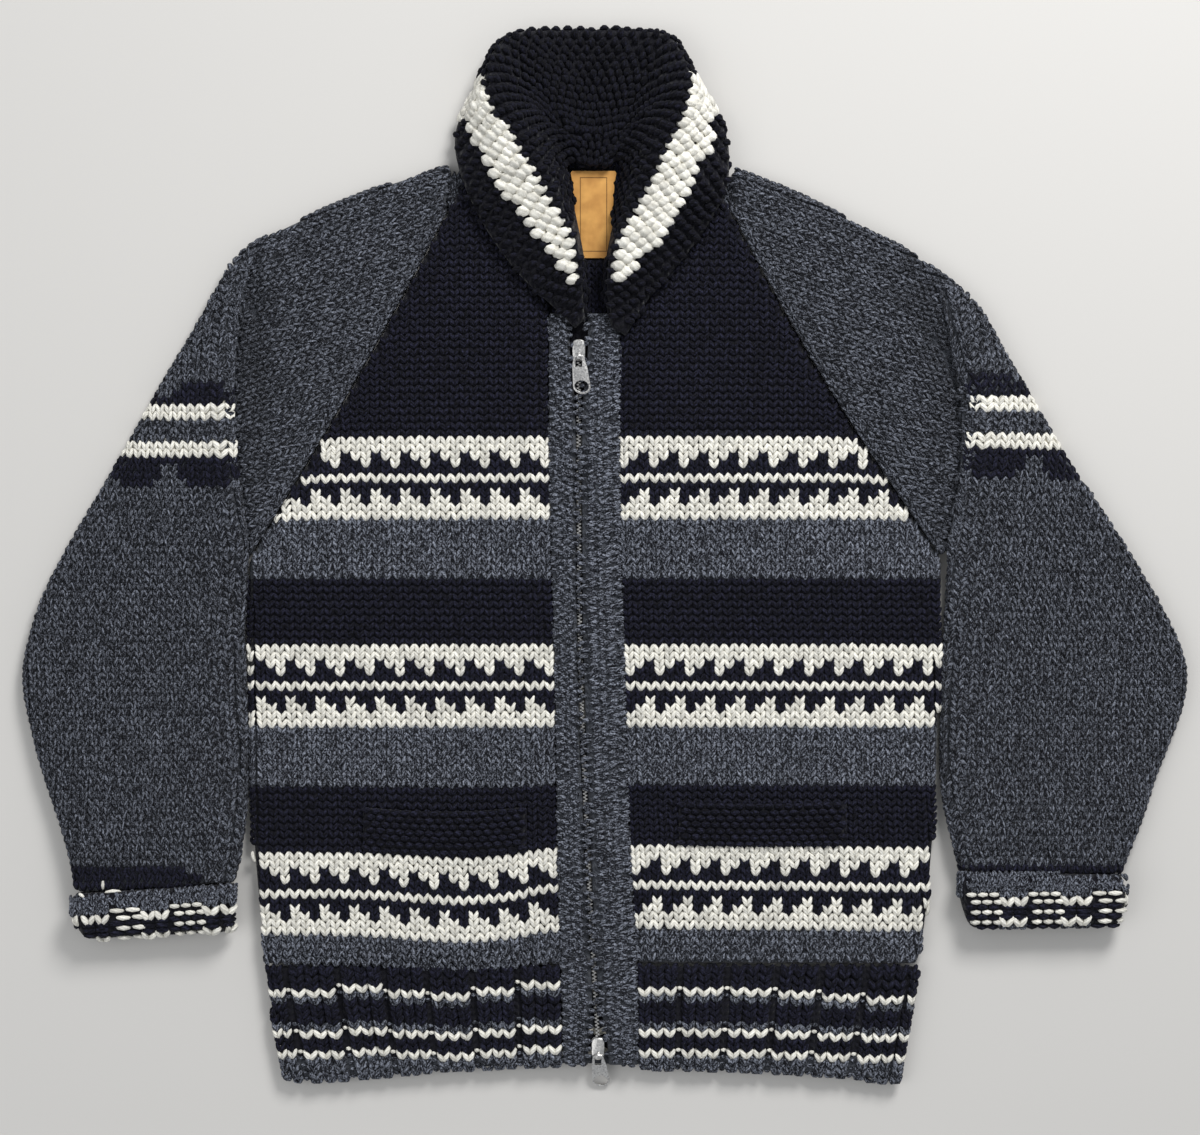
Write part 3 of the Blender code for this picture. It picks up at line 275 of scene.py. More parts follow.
# %% [markdown]
# Wool yarn is spun from several plies, so each strand shows fine slanted threads and a haze of
# fibres. Grey heather is a mix of near black and pale fibres, which lie along the strand and make
# it flecked. A picture of wool could colour it, but noise nodes stay sharp at any size. Every
# strand carries its own UV map, called strand: along it and round it. A point attribute of tone
# and painted shade makes neighbouring stitches differ a little, as hand knitting does, and also
# carries painted shade: it is set lower on the sleeves, on the collar and beside each pleat,
# where the wool lies in shade, and the colour is drawn darker with it.

# %% Yarn
Yarn = namedtuple("Yarn", "slot dark light low high sheen")
YARN_TABLE = {
    "grey": Yarn(
        "grey_wool", rgb(0.006, 0.0065, 0.010), rgb(0.285, 0.308, 0.37), 0.47, 0.63, 0.05,
    ),
    "black": Yarn(
        "black_wool", rgb(0.0012, 0.0012, 0.0036), rgb(0.030, 0.031, 0.064), 0.46, 0.70, 0.02,
    ),
    "cream": Yarn(
        "cream_wool", rgb(0.66, 0.63, 0.54), rgb(0.92, 0.90, 0.83), 0.30, 0.62, 0.08,
    ),
}


def make_yarn(name, yarn):
    """Plies, fibres and flecks of one colour of wool."""
    tree = Tree(name + "_yarn", roughness=0.92, sheen=yarn.sheen)
    place = tree.place()
    along, around, unused = tree.axes(tree.node("ShaderNodeUVMap", {"uv_map": "strand"}))
    tone = tree.node("ShaderNodeAttribute", {"attribute_name": "tone"}, output=2)
    ply = (along * 3.0 + around * 4.0 + tone * 7.0).wave()
    fibres = tree.noise(place, 2200.0, 2.0)
    flecks = tree.noise(place, 800.0, 2.0)
    grain = tree.node("ShaderNodeCombineXYZ", {}, along * 3.0, around * 9.0, tone * 60.0)
    streaks = tree.noise(grain, 1.0, 1.0)
    mixed = flecks * 0.4 + streaks * 0.4 + fibres * 0.2
    base = tree.blend(tree.spread(mixed, yarn.low, yarn.high), yarn.dark, yarn.light)
    shade = tree.spread(ply * 0.5 + fibres * 0.5, 0.0, 1.0, 0.70, 1.18)
    # Painted shade: the per-stitch value scales the colour. It varies at random, and is lower where
    # the wool lies in shade.
    tree.feed("Base Color", tree.scaled(base, shade * (tone + 0.5)))
    tree.bump(ply * 0.6 + fibres * 0.9, 0.0006, 0.8)
    return tree.material


YARNS = {name: make_yarn(name, yarn) for name, yarn in YARN_TABLE.items()}
print("yarns:", list(YARNS))

# %% [markdown]
# The colours of the body come in bands. Its border is a traditional tooth pattern of three
# stitches by eleven rows: white above and below with black teeth, and a white line between.

# %% Chart of the body
STITCH = 7.96
ROW = 5.94
FIRST_BAND_TOP = 98.4
BODY_BANDS = (
    (-60, "black"),
    (0, "teeth"), (11, "grey"), (19, "black"),
    (28, "teeth"), (39, "grey"), (47, "black"),
    (56, "teeth"), (67, "grey"),
)
HEM_ROW = 5.5
HEM_HEAD = -326.0
HEM_BANDS = (
    (0, "black"), (3, "cream"), (4, "grey"), (5, "black"), (8, "grey"), (9, "cream"),
    (10, "black"), (12, "cream"), (13, "grey"),
)
HEM_STITCH = 9.1
ARM_BANDS = ((0, "cream"), (2, "grey"), (5, "cream"), (7, "black"), (8, "grey"))


def band_at(bands, row):
    """The band that a row is in, and how many rows down it is."""
    first, name = max(band for band in bands if band[0] <= row)
    return name, row - first


def tooth_is_white(row, column):
    """The tooth pattern, for row 1 to 11 from the top and column 0 to 2."""
    return row <= 4 - column or row == 6 or row >= 10 - column


def body_colour(row, column):
    """The colour of one stitch of the fronts."""
    band, within = band_at(BODY_BANDS, row)
    if band == "teeth":
        return "cream" if tooth_is_white(within + 1, column % 3) else "black"
    return band


print("a border of", len(BODY_BANDS) - 1, "bands, from", FIRST_BAND_TOP, "mm down")

# %% [markdown]
# Under the stitches lies the cloth itself. Where no stitches are set, on the underside and in
# the gaps, its material draws the same knitting: the same bands, as rows of V shapes in low
# relief. Real strands everywhere would be truer, and far heavier than an underside is worth.

# %% Cloth
CLOTH_TONES = {
    "grey": rgb(0.055, 0.06, 0.072),
    "black": rgb(0.006, 0.006, 0.010),
    "cream": rgb(0.70, 0.67, 0.58),
}


def make_cloth(name, bands, head, row_size, stitch_size, teeth=True, beyond=0.0):
    """Bands from the top down. Head is where row 0 begins, measured from the armpits.

    Where the cloth is nearer to the zip than beyond, it keeps the colour of the first band.
    """
    tree = Tree(name, roughness=0.95, sheen=0.1)
    place = tree.place()
    x, y, z = tree.axes(place)
    column = x / (stitch_size * MM) + 200.0
    slant = (column.fract() - 0.5).math("ABSOLUTE")
    row = (head + TAPE_TO_FRAME.y) / row_size - y / (row_size * MM) + slant * 0.8 - 0.2
    colour = CLOTH_TONES[bands[0][1].replace("teeth", "black")]
    for start, band in bands[1:]:
        below = row > float(start)
        band_colour = CLOTH_TONES[band.replace("teeth", "black")]
        if band == "teeth" and teeth:
            third = ((column / 3.0).fract() * 3.0).math("FLOOR")
            within = (row - float(start)).math("FLOOR") + 1.0
            middle = (within - 6.0).math("ABSOLUTE") < 0.5
            upper = within < 4.5 - third
            lower = within > 9.5 - third
            white = middle.math("MAXIMUM", upper).math("MAXIMUM", lower)
            band_colour = tree.blend(white, CLOTH_TONES["black"], CLOTH_TONES["cream"])
        outside = x.math("ABSOLUTE") > beyond * MM
        colour = tree.blend(below * outside, colour, band_colour)
    legs = (column * 2.0).fract() - 0.5
    relief = (1 - legs * legs * 4.0) * (row + 100.0).fract().math("PINGPONG", 0.5)
    fibres = tree.noise(place, 1400.0, 3.0)
    shade = tree.spread(fibres, 0.3, 0.7, 0.55, 1.45)
    tree.feed("Base Color", tree.scaled(colour, shade))
    tree.bump(relief * 2.0 + fibres * 0.25, 0.002, 1.0)
    return tree.material


def arm_cloth(name, head):
    """Grey cloth with the armband, which begins beyond the pleat."""
    bands = ((-90, "grey"),) + ARM_BANDS
    return make_cloth(name, bands, head, ROW, STITCH, beyond=302.0)


def plain_cloth(colour):
    """Cloth of one colour."""
    bands = ((-90, colour), (-80, colour))
    return make_cloth(colour + "_knit", bands, 0.0, ROW, STITCH)


RIB_BANDS = ((0, "black"), (13, "grey"))
CLOTHS = {
    "back": make_cloth("back_knit", BODY_BANDS, FIRST_BAND_TOP, ROW, STITCH),
    "front": make_cloth("front_knit", BODY_BANDS, FIRST_BAND_TOP, ROW, STITCH, teeth=False),
    "hem": make_cloth("hem_knit", HEM_BANDS, HEM_HEAD, HEM_ROW, HEM_STITCH),
    "rib": make_cloth("rib_knit", RIB_BANDS, HEM_HEAD, HEM_ROW, HEM_STITCH),
    "right_arm": arm_cloth("right_arm_knit", 126.0),
    "left_arm": arm_cloth("left_arm_knit", 131.0),
    "grey": plain_cloth("grey"),
    "black": plain_cloth("black"),
}
print("cloths:", list(CLOTHS))

# %% [markdown]
# The cloth is a shell with the solid's form, made finer so that its outline runs in smooth
# curves. A copy of the node's mesh comes as loose triangles, so they are merged and turned back
# to quads first. Knitting over the bare solids would work too, but their facets would show in
# the light that rakes over the rows.


# %% Shells
WELD = 0.00002


def edit_mode(obj):
    """Open one object's mesh, with all of it selected."""
    bpy.ops.object.select_all(action="DESELECT")
    obj.select_set(True)
    bpy.context.view_layer.objects.active = obj
    bpy.ops.object.mode_set(mode="EDIT")
    bpy.ops.mesh.select_all(action="SELECT")


def object_mode():
    bpy.ops.object.mode_set(mode="OBJECT")


def copy_of(node, name, material, body="garment"):
    """A merged copy of a node, which it replaces."""
    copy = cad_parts[node].copy()
    copy.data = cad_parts[node].data.copy()
    for key in list(copy.keys()):
        del copy[key]
    copy.parent = None
    copy.name = name
    copy.data.name = name
    bpy.context.scene.collection.objects.link(copy)
    copy.data.materials.clear()
    copy.data.materials.append(material)
    edit_mode(copy)
    bpy.ops.mesh.remove_doubles(threshold=WELD)
    bpy.ops.mesh.tris_convert_to_quads(face_threshold=0.6, shape_threshold=1.2)
    object_mode()
    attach(copy, body)
    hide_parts(node)
    return copy


def make_shell(node, levels, material, slot):
    """The smooth cloth of one node."""
    shell = copy_of(node, node + "_cloth", CLOTHS[material])
    finer = shell.modifiers.new("Finer", "SUBSURF")
    finer.levels = levels
    finer.render_levels = levels
    bpy.ops.object.modifier_apply(modifier=finer.name)
    bpy.ops.object.shade_smooth()
    return shell


def surface_of(obj):
    """What rays are cast against."""
    return BVHTree.FromObject(obj, bpy.context.evaluated_depsgraph_get())


SHELLS = (
    ("back", 1, "back", "grey_wool"),
    ("front_left", 1, "front", "black_wool"),
    ("front_right", 1, "front", "black_wool"),
    ("sleeve_left", 2, "left_arm", "grey_wool"),
    ("sleeve_right", 2, "right_arm", "grey_wool"),
    ("zip_band_left", 1, "grey", "grey_wool"),
    ("zip_band_right", 1, "grey", "grey_wool"),
    ("hem_back", 1, "hem", "black_wool"),
    ("hem_front_left", 2, "rib", "black_wool"),
    ("hem_front_right", 2, "rib", "black_wool"),
    ("cuff_left", 1, "black", "black_wool"),
    ("cuff_right", 1, "black", "black_wool"),
    ("collar", 1, "black", "black_wool"),
    ("pocket_welt_left", 1, "black", "black_wool"),
    ("pocket_welt_right", 1, "black", "black_wool"),
)
shells = {node: make_shell(node, *rest) for node, *rest in SHELLS}
print("shells:", len(shells))

# %% [markdown]
# Worn wool keeps soft creases. A cloth simulation would find creases of its own, but not the
# ones in the picture, so each is a line in plan with a width and a depth. It presses into the
# upper side, deepest in its middle, and the underside has a few of its own. The purl columns of
# the hem are pressed in the same way.

# %% Creases
Crease = namedtuple("Crease", "x1 y1 x2 y2 wide deep")
FRONT_RIGHT = ("front_right", "hem_front_right", "pocket_welt_right")
FRONT_LEFT = ("front_left", "hem_front_left", "pocket_welt_left")
TOP_CREASES = {
    ("collar",): (
        Crease(-70, 420, -22, 318, 9, -3.6),
        Crease(42, 418, 18, 318, 8, -3.2),
        Crease(-8, 430, -2, 330, 16, -1.4),
        Crease(-100, 262, -70, 232, 10, -1.6),
    ),
    FRONT_RIGHT: (
        Crease(-186, -329, -62, -326, 8, -1.5),
        Crease(-196, 60, -178, -150, 26, -0.8),
        Crease(-262, -30, -240, -250, 15, -0.9),
        Crease(-92, 150, -74, -60, 34, 0.7),
    ),
    FRONT_LEFT: (
        Crease(118, 70, 136, -130, 30, -0.7),
        Crease(248, -10, 232, -230, 14, -0.9),
        Crease(60, -322, 150, -327, 8, -1.0),
        Crease(196, -60, 188, -300, 22, 0.8),
    ),
    ("sleeve_right",): (
        Crease(-269, 234, -287, 112, 10, -4.2),
        Crease(-180, 262, -238, 196, 20, 1.6),
        Crease(-452, -6, -330, -48, 20, -1.9),
        Crease(-440, -96, -318, -150, 24, -1.6),
        Crease(-410, -190, -312, -176, 15, 1.5),
        Crease(-402, -240, -296, -232, 8, -2.0),
    ),
    ("sleeve_left",): (
        Crease(252, 222, 291, 112, 10, -4.4),
        Crease(160, 276, 226, 214, 22, 1.4),
        Crease(336, 26, 448, -34, 22, -1.7),
        Crease(316, -112, 428, -150, 20, -1.9),
        Crease(300, -186, 392, -206, 14, 1.6),
        Crease(298, -236, 404, -242, 7, -2.2),
    ),
}
UNDER_CREASES = {
    ("back", "hem_back"): (
        Crease(-160, 120, -118, -190, 22, 1.3),
        Crease(92, 60, 130, -260, 26, 1.1),
        Crease(210, 20, 236, -170, 16, 1.4),
        Crease(-250, -60, -214, -290, 14, 1.2),
    ),
    ("sleeve_right",): (
        Crease(-446, -20, -322, -74, 20, 1.4),
        Crease(-410, -150, -318, -128, 15, 1.1),
        Crease(-246, 220, -206, 60, 18, 1.3),
    ),
    ("sleeve_left",): (
        Crease(330, -30, 452, -58, 18, 1.4),
        Crease(318, -170, 404, -190, 13, 1.2),
        Crease(200, 240, 252, 96, 20, 1.2),
    ),
}


def press(shell, node, creases, facing):
    """Move the side that faces up (1) or down (-1) by each crease's depth."""
    mesh = shell.data
    points = np.empty(len(mesh.vertices) * 3, np.float32)
    normals = np.empty(len(mesh.vertices) * 3, np.float32)
    mesh.vertices.foreach_get("co", points)
    mesh.vertex_normals.foreach_get("vector", normals)
    points = points.reshape(-1, 3)
    turned = np.clip(normals.reshape(-1, 3)[:, 2] * facing * 1.6 - 0.3, 0.0, 1.0)
    places = points[:, :2] / MM - np.array(TAPE_TO_FRAME)[:2]
    chosen = [crease for pieces, lines in creases.items() if node in pieces for crease in lines]
    for crease in chosen:
        start = np.array((crease.x1, crease.y1), float)
        run = np.array((crease.x2, crease.y2), float) - start
        share = ((places - start) @ run) / (run @ run)
        bend = 0.12 * np.sin(share * 5.0 + crease.x1)
        nearest = start + np.clip(share, 0.0, 1.0)[:, None] * run
        nearest = nearest + bend[:, None] * (run[1], -run[0]) * 0.4
        away = np.hypot(*(places - nearest).T)
        taper = np.clip(4 * share * (1 - share) + 0.25, 0.0, 1.0)
        profile = np.exp(-((away / crease.wide) ** 2))
        points[:, 2] += crease.deep * MM * profile * taper * turned
    mesh.vertices.foreach_set("co", points.ravel())
    mesh.update()


RIB_GROOVES = {
    "hem_front_right": (-66.4, -102.4, -139.2, -173.6, -211.2, -252.0),
    "hem_front_left": (64.8, 103.2, 142.4, 178.4, 214.4),
}
GROOVES = {
    (node,): [Crease(x, -331, x * 0.985, -408, 3.6, -2.6) for x in places]
    for node, places in RIB_GROOVES.items()
}
surfaces = {}
for node, shell in shells.items():
    press(shell, node, TOP_CREASES, 1)
    press(shell, node, GROOVES, 1)
    press(shell, node, UNDER_CREASES, -1)
    surfaces[node] = surface_of(shell)
for title, creases in (("above", TOP_CREASES), ("below", UNDER_CREASES), ("rib", GROOVES)):
    print("creases", title + ":", sum(len(lines) for lines in creases.values()))


# %% [markdown]
# A stitch is one or two short strands. A strand is a closed spindle of five or six sides along a
# bent line. In plain knitting two legs make a V: their feet lie proud and their heads dive under
# the next row. On the purl side the same yarn shows as a row of bumps. A bump map could draw all
# this, but the outline and the raking light would stay flat, so each strand is real.


# %% Strands
def make_strand(path, half_width, half_height, sides):
    """A spindle through the points of a path (across, up, out). Gives points, faces and UVs."""
    path = np.array(path, float)
    count = len(path)
    points = [path[0]]
    for i in range(1, count - 1):
        run = path[i + 1] - path[i - 1]
        side = np.array((run[1], -run[0], 0.0))
        side /= np.linalg.norm(side)
        for j in range(sides):
            turn = 2 * math.pi * j / sides - math.pi / 2
            sideways = side * half_width[i - 1] * math.cos(turn)
            outwards = np.array((0.0, 0.0, half_height[i - 1] * math.sin(turn)))
            points.append(path[i] + sideways + outwards)
    points.append(path[-1])
    last = len(points) - 1
    rings = count - 2
    faces = []
    uvs = []
    for j in range(sides):
        k = (j + 1) % sides
        a, b = j / sides, (j + 1) / sides
        faces.append((0, 1 + j, 1 + k))
        uvs += [(0.0, (a + b) / 2), (1 / (rings + 1), a), (1 / (rings + 1), b)]
        for i in range(rings - 1):
            low = 1 + i * sides
            high = low + sides
            near, far = (i + 1) / (rings + 1), (i + 2) / (rings + 1)
            faces.append((low + k, low + j, high + j, high + k))
            uvs += [(near, b), (near, a), (far, a), (far, b)]
        high = 1 + (rings - 1) * sides
        faces.append((high + k, high + j, last))
        uvs += [(rings / (rings + 1), b), (rings / (rings + 1), a), (1.0, (a + b) / 2)]
    return np.array(points), faces, np.array(uvs)


def mirrored(strand):
    """The same strand for the other leg of a V, with its faces outwards."""
    points, faces, uvs = strand
    flipped = []
    flipped_uvs = []
    start = 0
    for face in faces:
        flipped.append(tuple(reversed(face)))
        flipped_uvs.extend(reversed(uvs[start:start + len(face)]))
        start += len(face)
    return points * np.array((-1.0, 1.0, 1.0)), flipped, np.array(flipped_uvs)


def volume_of(strand):
    """Positive when the faces point outwards."""
    points, faces, uvs = strand
    volume = 0.0
    for face in faces:
        for i in range(1, len(face) - 1):
            volume += np.dot(points[face[0]], np.cross(points[face[i]], points[face[i + 1]]))
    return volume / 6


# Across is in stitch widths, up in rows and out in millimetres.
RIGHT_LEG = make_strand(
    (
        (0.05, -0.82, 0.1), (0.09, -0.60, 0.8), (0.25, 0.0, 1.35), (0.41, 0.54, 0.7),
        (0.46, 0.76, -0.1),
    ),
    (0.20, 0.27, 0.20), (1.2, 1.7, 1.2), 5,
)
BUMP = make_strand(
    (
        (-0.50, -0.08, -0.3), (-0.42, -0.04, 0.2), (-0.17, 0.02, 1.0), (0.17, 0.02, 1.0),
        (0.42, -0.04, 0.2), (0.50, -0.08, -0.3),
    ),
    (0.27, 0.45, 0.45, 0.27), (1.0, 1.55, 1.55, 1.0), 6,
)
DASH = make_strand(
    ((-0.50, 0.0, -0.2), (-0.38, 0.0, 0.6), (0.0, 0.0, 1.1), (0.38, 0.0, 0.6), (0.50, 0.0, -0.2)),
    (0.30, 0.47, 0.30), (1.0, 1.5, 1.0), 6,
)
HAIR = make_strand(
    ((-0.5, -0.3, 2.2), (-0.2, 0.5, 3.1), (0.2, -0.2, 3.5), (0.5, 0.6, 2.6)),
    (0.045, 0.04), (0.09, 0.08), 3,
)
FORMS = {"left": mirrored(RIGHT_LEG), "right": RIGHT_LEG, "bump": BUMP, "dash": DASH, "hair": HAIR}
for name, form in FORMS.items():
    print("strand volume,", name + ":", round(float(volume_of(form)), 3))

# %% [markdown]
# A piece of knitting gathers its stitches by colour. At the end each colour becomes one joined
# mesh, so that each keeps its own yarn. A few stitches have a stray hair.

# %% Knitting
DRAW = np.random.default_rng(7)
HAIR_SHARE = {"grey": 0.15, "cream": 0.08, "black": 0.06}
EVEN_TONE = (0.33, 0.67)
# Painted shade: a lower tone range for grey that lies in shade, on the sleeves and the shoulders'
# ends.
PAINTED_SHADE_TONE = (0.08, 0.42)
Stitch = namedtuple("Stitch", "form place up out width row thick tone")


class Knitting:
    """The stitches of one piece of cloth.

    Tones gives a range of tone for a colour, low where shade is painted on. A second amount of
    painted shade darkens the stitches set while it is on.
    """

    def __init__(self, name, **tones):
        self.name = name
        self.tones = tones
        self.painted_shade = 0.0
        self.stitches = {}

    def add(self, colour, form, place, up, out, width, row, thick=1.0):
        """Set one strand. Width and row are in millimetres."""
        up = (up - out * up.dot(out)).normalized()
        # Painted shade enters here: a low tone range and the shade amount both lower the value.
        tone = max(0.0, DRAW.uniform(*self.tones.get(colour, EVEN_TONE)) - self.painted_shade)
        stitch = Stitch(form, place, up, out, width, row, thick, tone)
        self.stitches.setdefault(colour, []).append(stitch)

    def knit(self, colour, place, up, out, width, row, thick=1.0):
        """A V of two legs, a little out of true."""
        lean = up.cross(out) * DRAW.normal(0.0, 0.05)
        shift = DRAW.normal(0.0, 0.25, 2) * MM
        place = place + up * shift[0] + up.cross(out) * shift[1]
        for form in ("left", "right"):
            self.add(colour, form, place, up + lean, out, width, row, thick)
        if DRAW.random() < HAIR_SHARE[colour]:
            turned = up + up.cross(out) * DRAW.normal(0.0, 2.0)
            length = DRAW.uniform(4.0, 9.0)
            self.add(colour, "hair", place, turned, out, length, DRAW.uniform(1.5, 4.0))

    def cast_off(self, body="garment"):
        """Turn the stitches into meshes, one for each colour."""
        return [
            join_strands(f"{self.name}_{colour}_stitches", colour, stitches, body)
            for colour, stitches in self.stitches.items()
        ]


triangles = {}


def join_strands(name, colour, stitches, body):
    """One mesh of many strands, with a flat UV map for the bake and one along each strand."""
    points = []
    loops = []
    sizes = []
    strand_uvs = []
    tones = []
    base = 0
    for form, (shape, faces, uvs) in FORMS.items():
        chosen = [s for s in stitches if s.form == form]
        if not chosen:
            continue
        place = np.array([s.place for s in chosen])
        up = np.array([s.up for s in chosen])
        out = np.array([s.out for s in chosen])
        side = np.cross(up, out)
        scale = np.array([(s.width, s.row, s.thick) for s in chosen]) * MM
        sized = shape[None, :, :] * scale[:, None, :]
        shaped = place[:, None, :] + side[:, None, :] * sized[:, :, 0:1]
        shaped = shaped + up[:, None, :] * sized[:, :, 1:2] + out[:, None, :] * sized[:, :, 2:3]
        number = len(chosen)
        points.append(shaped.reshape(-1, 3))
        tones.append(np.repeat([s.tone for s in chosen], len(shape)))
        corners = np.array([v for face in faces for v in face])
        steps = np.arange(number)[:, None] * len(shape) + base
        loops.append((corners[None, :] + steps).ravel())
        sizes.append(np.tile([len(face) for face in faces], number))
        strand_uvs.append(np.tile(uvs, (number, 1)))
        base += number * len(shape)
    points = np.concatenate(points)
    loops = np.concatenate(loops)
    sizes = np.concatenate(sizes)
    mesh = bpy.data.meshes.new(name)
    mesh.vertices.add(len(points))
    mesh.vertices.foreach_set("co", points.astype(np.float32).ravel())
    mesh.loops.add(len(loops))
    mesh.loops.foreach_set("vertex_index", loops.astype(np.int32))
    mesh.polygons.add(len(sizes))
    starts = np.concatenate(([0], np.cumsum(sizes)[:-1]))
    mesh.polygons.foreach_set("loop_start", starts.astype(np.int32))
    mesh.polygons.foreach_set("use_smooth", np.ones(len(sizes), bool))
    mesh.update(calc_edges=True)
    low = points.min(0)
    span = (points.max(0) - low).max()
    seen = ((points[loops] - low) / span)[:, :2]
    flat = mesh.uv_layers.new(name="OFBake")
    flat.data.foreach_set("uv", seen.astype(np.float32).ravel())
    strand = mesh.uv_layers.new(name="strand")
    strand.data.foreach_set("uv", np.concatenate(strand_uvs).astype(np.float32).ravel())
    tone = mesh.attributes.new("tone", "FLOAT", "POINT")
    tone.data.foreach_set("value", np.concatenate(tones).astype(np.float32))
    mesh.materials.append(YARNS[colour])
    obj = bpy.data.objects.new(name, mesh)
    bpy.context.scene.collection.objects.link(obj)
    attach(obj, body)
    triangles[name] = int((sizes - 2).sum())
    print(f"{name}: {len(stitches)} strands, {triangles[name]} triangles")
    return obj


# %% [markdown]
# To set stitches evenly, a row is walked over the shell: across the top and down both sides, as
# a tape measure would lie. Columns are counted along that tape from a reference place, so that
# those of neighbouring rows line up.

# %% Walking a row
Spot = namedtuple("Spot", "number place out width")
MOST_COLUMNS = 60
RAY_STEP = 1.0
WALL_STEP = 1.5
WALL_START = 6.0
WALL_REACH = 0.016
STEEP = -0.25


def walk_row(surface, start, across, reach, spacing, anchor=0.0, floor=6.0):
    """Places along a plan line over a surface, counted from the anchor.

    Start is a place in plan, across the line's direction, and reach and anchor are distances
    along it in millimetres. Spacing turns a column number into its distance from the anchor.
    Floor is the height down to which the sides are followed.
    """
    runs = [[]]
    along = reach[0]
    while along < reach[1]:
        plan = start + across * (along * MM)
        hit = surface.ray_cast(Vector((plan.x, plan.y, OVERHEAD)), -SKY)[0]
        if hit is None:
            runs.append([])
        else:
            runs[-1].append((along, hit.z / MM))
        along += RAY_STEP
    spots = []
    for run in runs:
        if len(run) < 3:
            continue
        line = side_wall(surface, start, across, run[0], 1, floor) + run
        line += reversed(side_wall(surface, start, across, run[-1], -1, floor))
        for number, along, height, width in spaced(np.array(line), spacing, anchor):
            plan = start + across * (along * MM)
            place = Vector((plan.x, plan.y, height * MM))
            near, out, index, distance = surface.find_nearest(place)
            spots.append(Spot(number, near, out, width))
    return spots


def side_wall(surface, start, across, edge, way, floor):
    """Points of one side of the cloth, from the floor up to its top edge."""
    along, top = edge
    wall = []
    height = floor + 1.0
    while height < top - 0.5:
        plan = start + across * ((along - way * WALL_START) * MM)
        begin = Vector((plan.x, plan.y, height * MM))
        hit, normal, index, distance = surface.ray_cast(begin, across * way, WALL_REACH)
        if hit is not None and normal.dot(across) * way < STEEP:
            wall.append(((hit - start).dot(across) / MM, height))
        height += WALL_STEP
    return wall


def spaced(line, spacing, anchor):
    """Column numbers and their places along a line of (along, height) points."""
    steps = np.hypot(np.diff(line[:, 0]), np.diff(line[:, 1]))
    length = np.concatenate(([0.0], np.cumsum(steps)))
    middle = np.argmin(np.abs(line[:, 0] - anchor) - line[:, 1] * 0.05)
    zero = length[middle] + (anchor - line[middle, 0])
    found = []
    for number in range(-MOST_COLUMNS, MOST_COLUMNS):
        reached = zero + spacing(number + 0.5)
        if length[0] <= reached <= length[-1]:
            along = float(np.interp(reached, length, line[:, 0]))
            height = float(np.interp(reached, length, line[:, 1]))
            found.append((number, along, height, abs(spacing(number + 1) - spacing(number))))
    return found


def plain_spacing(n):
    """Columns of even width."""
    return n * STITCH


def drop(surface, x, y):
    """The place and outward direction of a surface under a measured point, or None."""
    plan = at_mm(x, y)
    hit, out, index, distance = surface.ray_cast(Vector((plan.x, plan.y, OVERHEAD)), -SKY)
    return None if hit is None else (hit, out)


def covered(cover, place, margin):
    """True where another piece hides a place and all round it, with the margin in mm."""
    step = margin * MM
    for step_x, step_y in ((0, 0), (step, 0), (-step, 0), (0, step), (0, -step)):
        start = Vector((place.x + step_x, place.y + step_y, place.z + 0.003))
        if cover.ray_cast(start, SKY)[0] is None:
            return False
    return True


# %% [markdown]
# The fronts are plain knitting. Their columns stand upright, evenly spaced from the edge beside
# the zip band, and the raglan seams cut across them. The rows sag a little where the cloth lies
# in folds, and dip into the raglan seams. In plain black the strands are squashed, so that each
# row shows as a ridge.

# %% Fronts
Front = namedtuple("Front", "name way edge arm_x neck_x bow welt sags")
Sag = namedtuple("Sag", "x y wide high drop")
NECK_Y = 322.0
FRONT_FOOT_Y = -324.6
BAND_TOP_Y = 176.0
BLACK_SQUASH = 0.76
FRONTS = (
    Front(
        "front_right", -1,
        ((-324, -32.0), (-232, -35.0), (-72, -37.5), (0, -40.0), (120, -42.0), (176, -42.0)),
        -281.5, -100.0, 5.0, "pocket_welt_right",
        (Sag(-112, -262, 50, 60, 5.5), Sag(-36, -262, 26, 60, -5.0), Sag(-112, -318, 60, 24, 3.5)),
    ),
    Front(
        "front_left", 1,
        ((-324, 30.0), (-232, 24.5), (-72, 20.0), (0, 17.5), (120, 16.0), (176, 17.0)),
        274.5, 84.0, -10.0, "pocket_welt_left",
        (Sag(140, -262, 900, 62, -6.5), Sag(30, -262, 60, 60, -0.8), Sag(240, -262, 60, 60, 1.5)),
    ),
)


def seam_x(front, y):
    """Where the raglan seam is, at a height on the front."""
    t = min(max(y / NECK_Y, 0.0), 1.0)
    return front.arm_x + (front.neck_x - front.arm_x) * t + front.bow * math.sin(math.pi * t)


def sag_at(front, x, y):
    """How far the rows lie below their level place."""
    drop_by = sum(s.drop * swell(x - s.x, s.wide) * swell(y - s.y, s.high) for s in front.sags)
    if y > 0:
        drop_by += 3.6 * math.exp(-abs(x - seam_x(front, y)) / 11.0)
    return drop_by


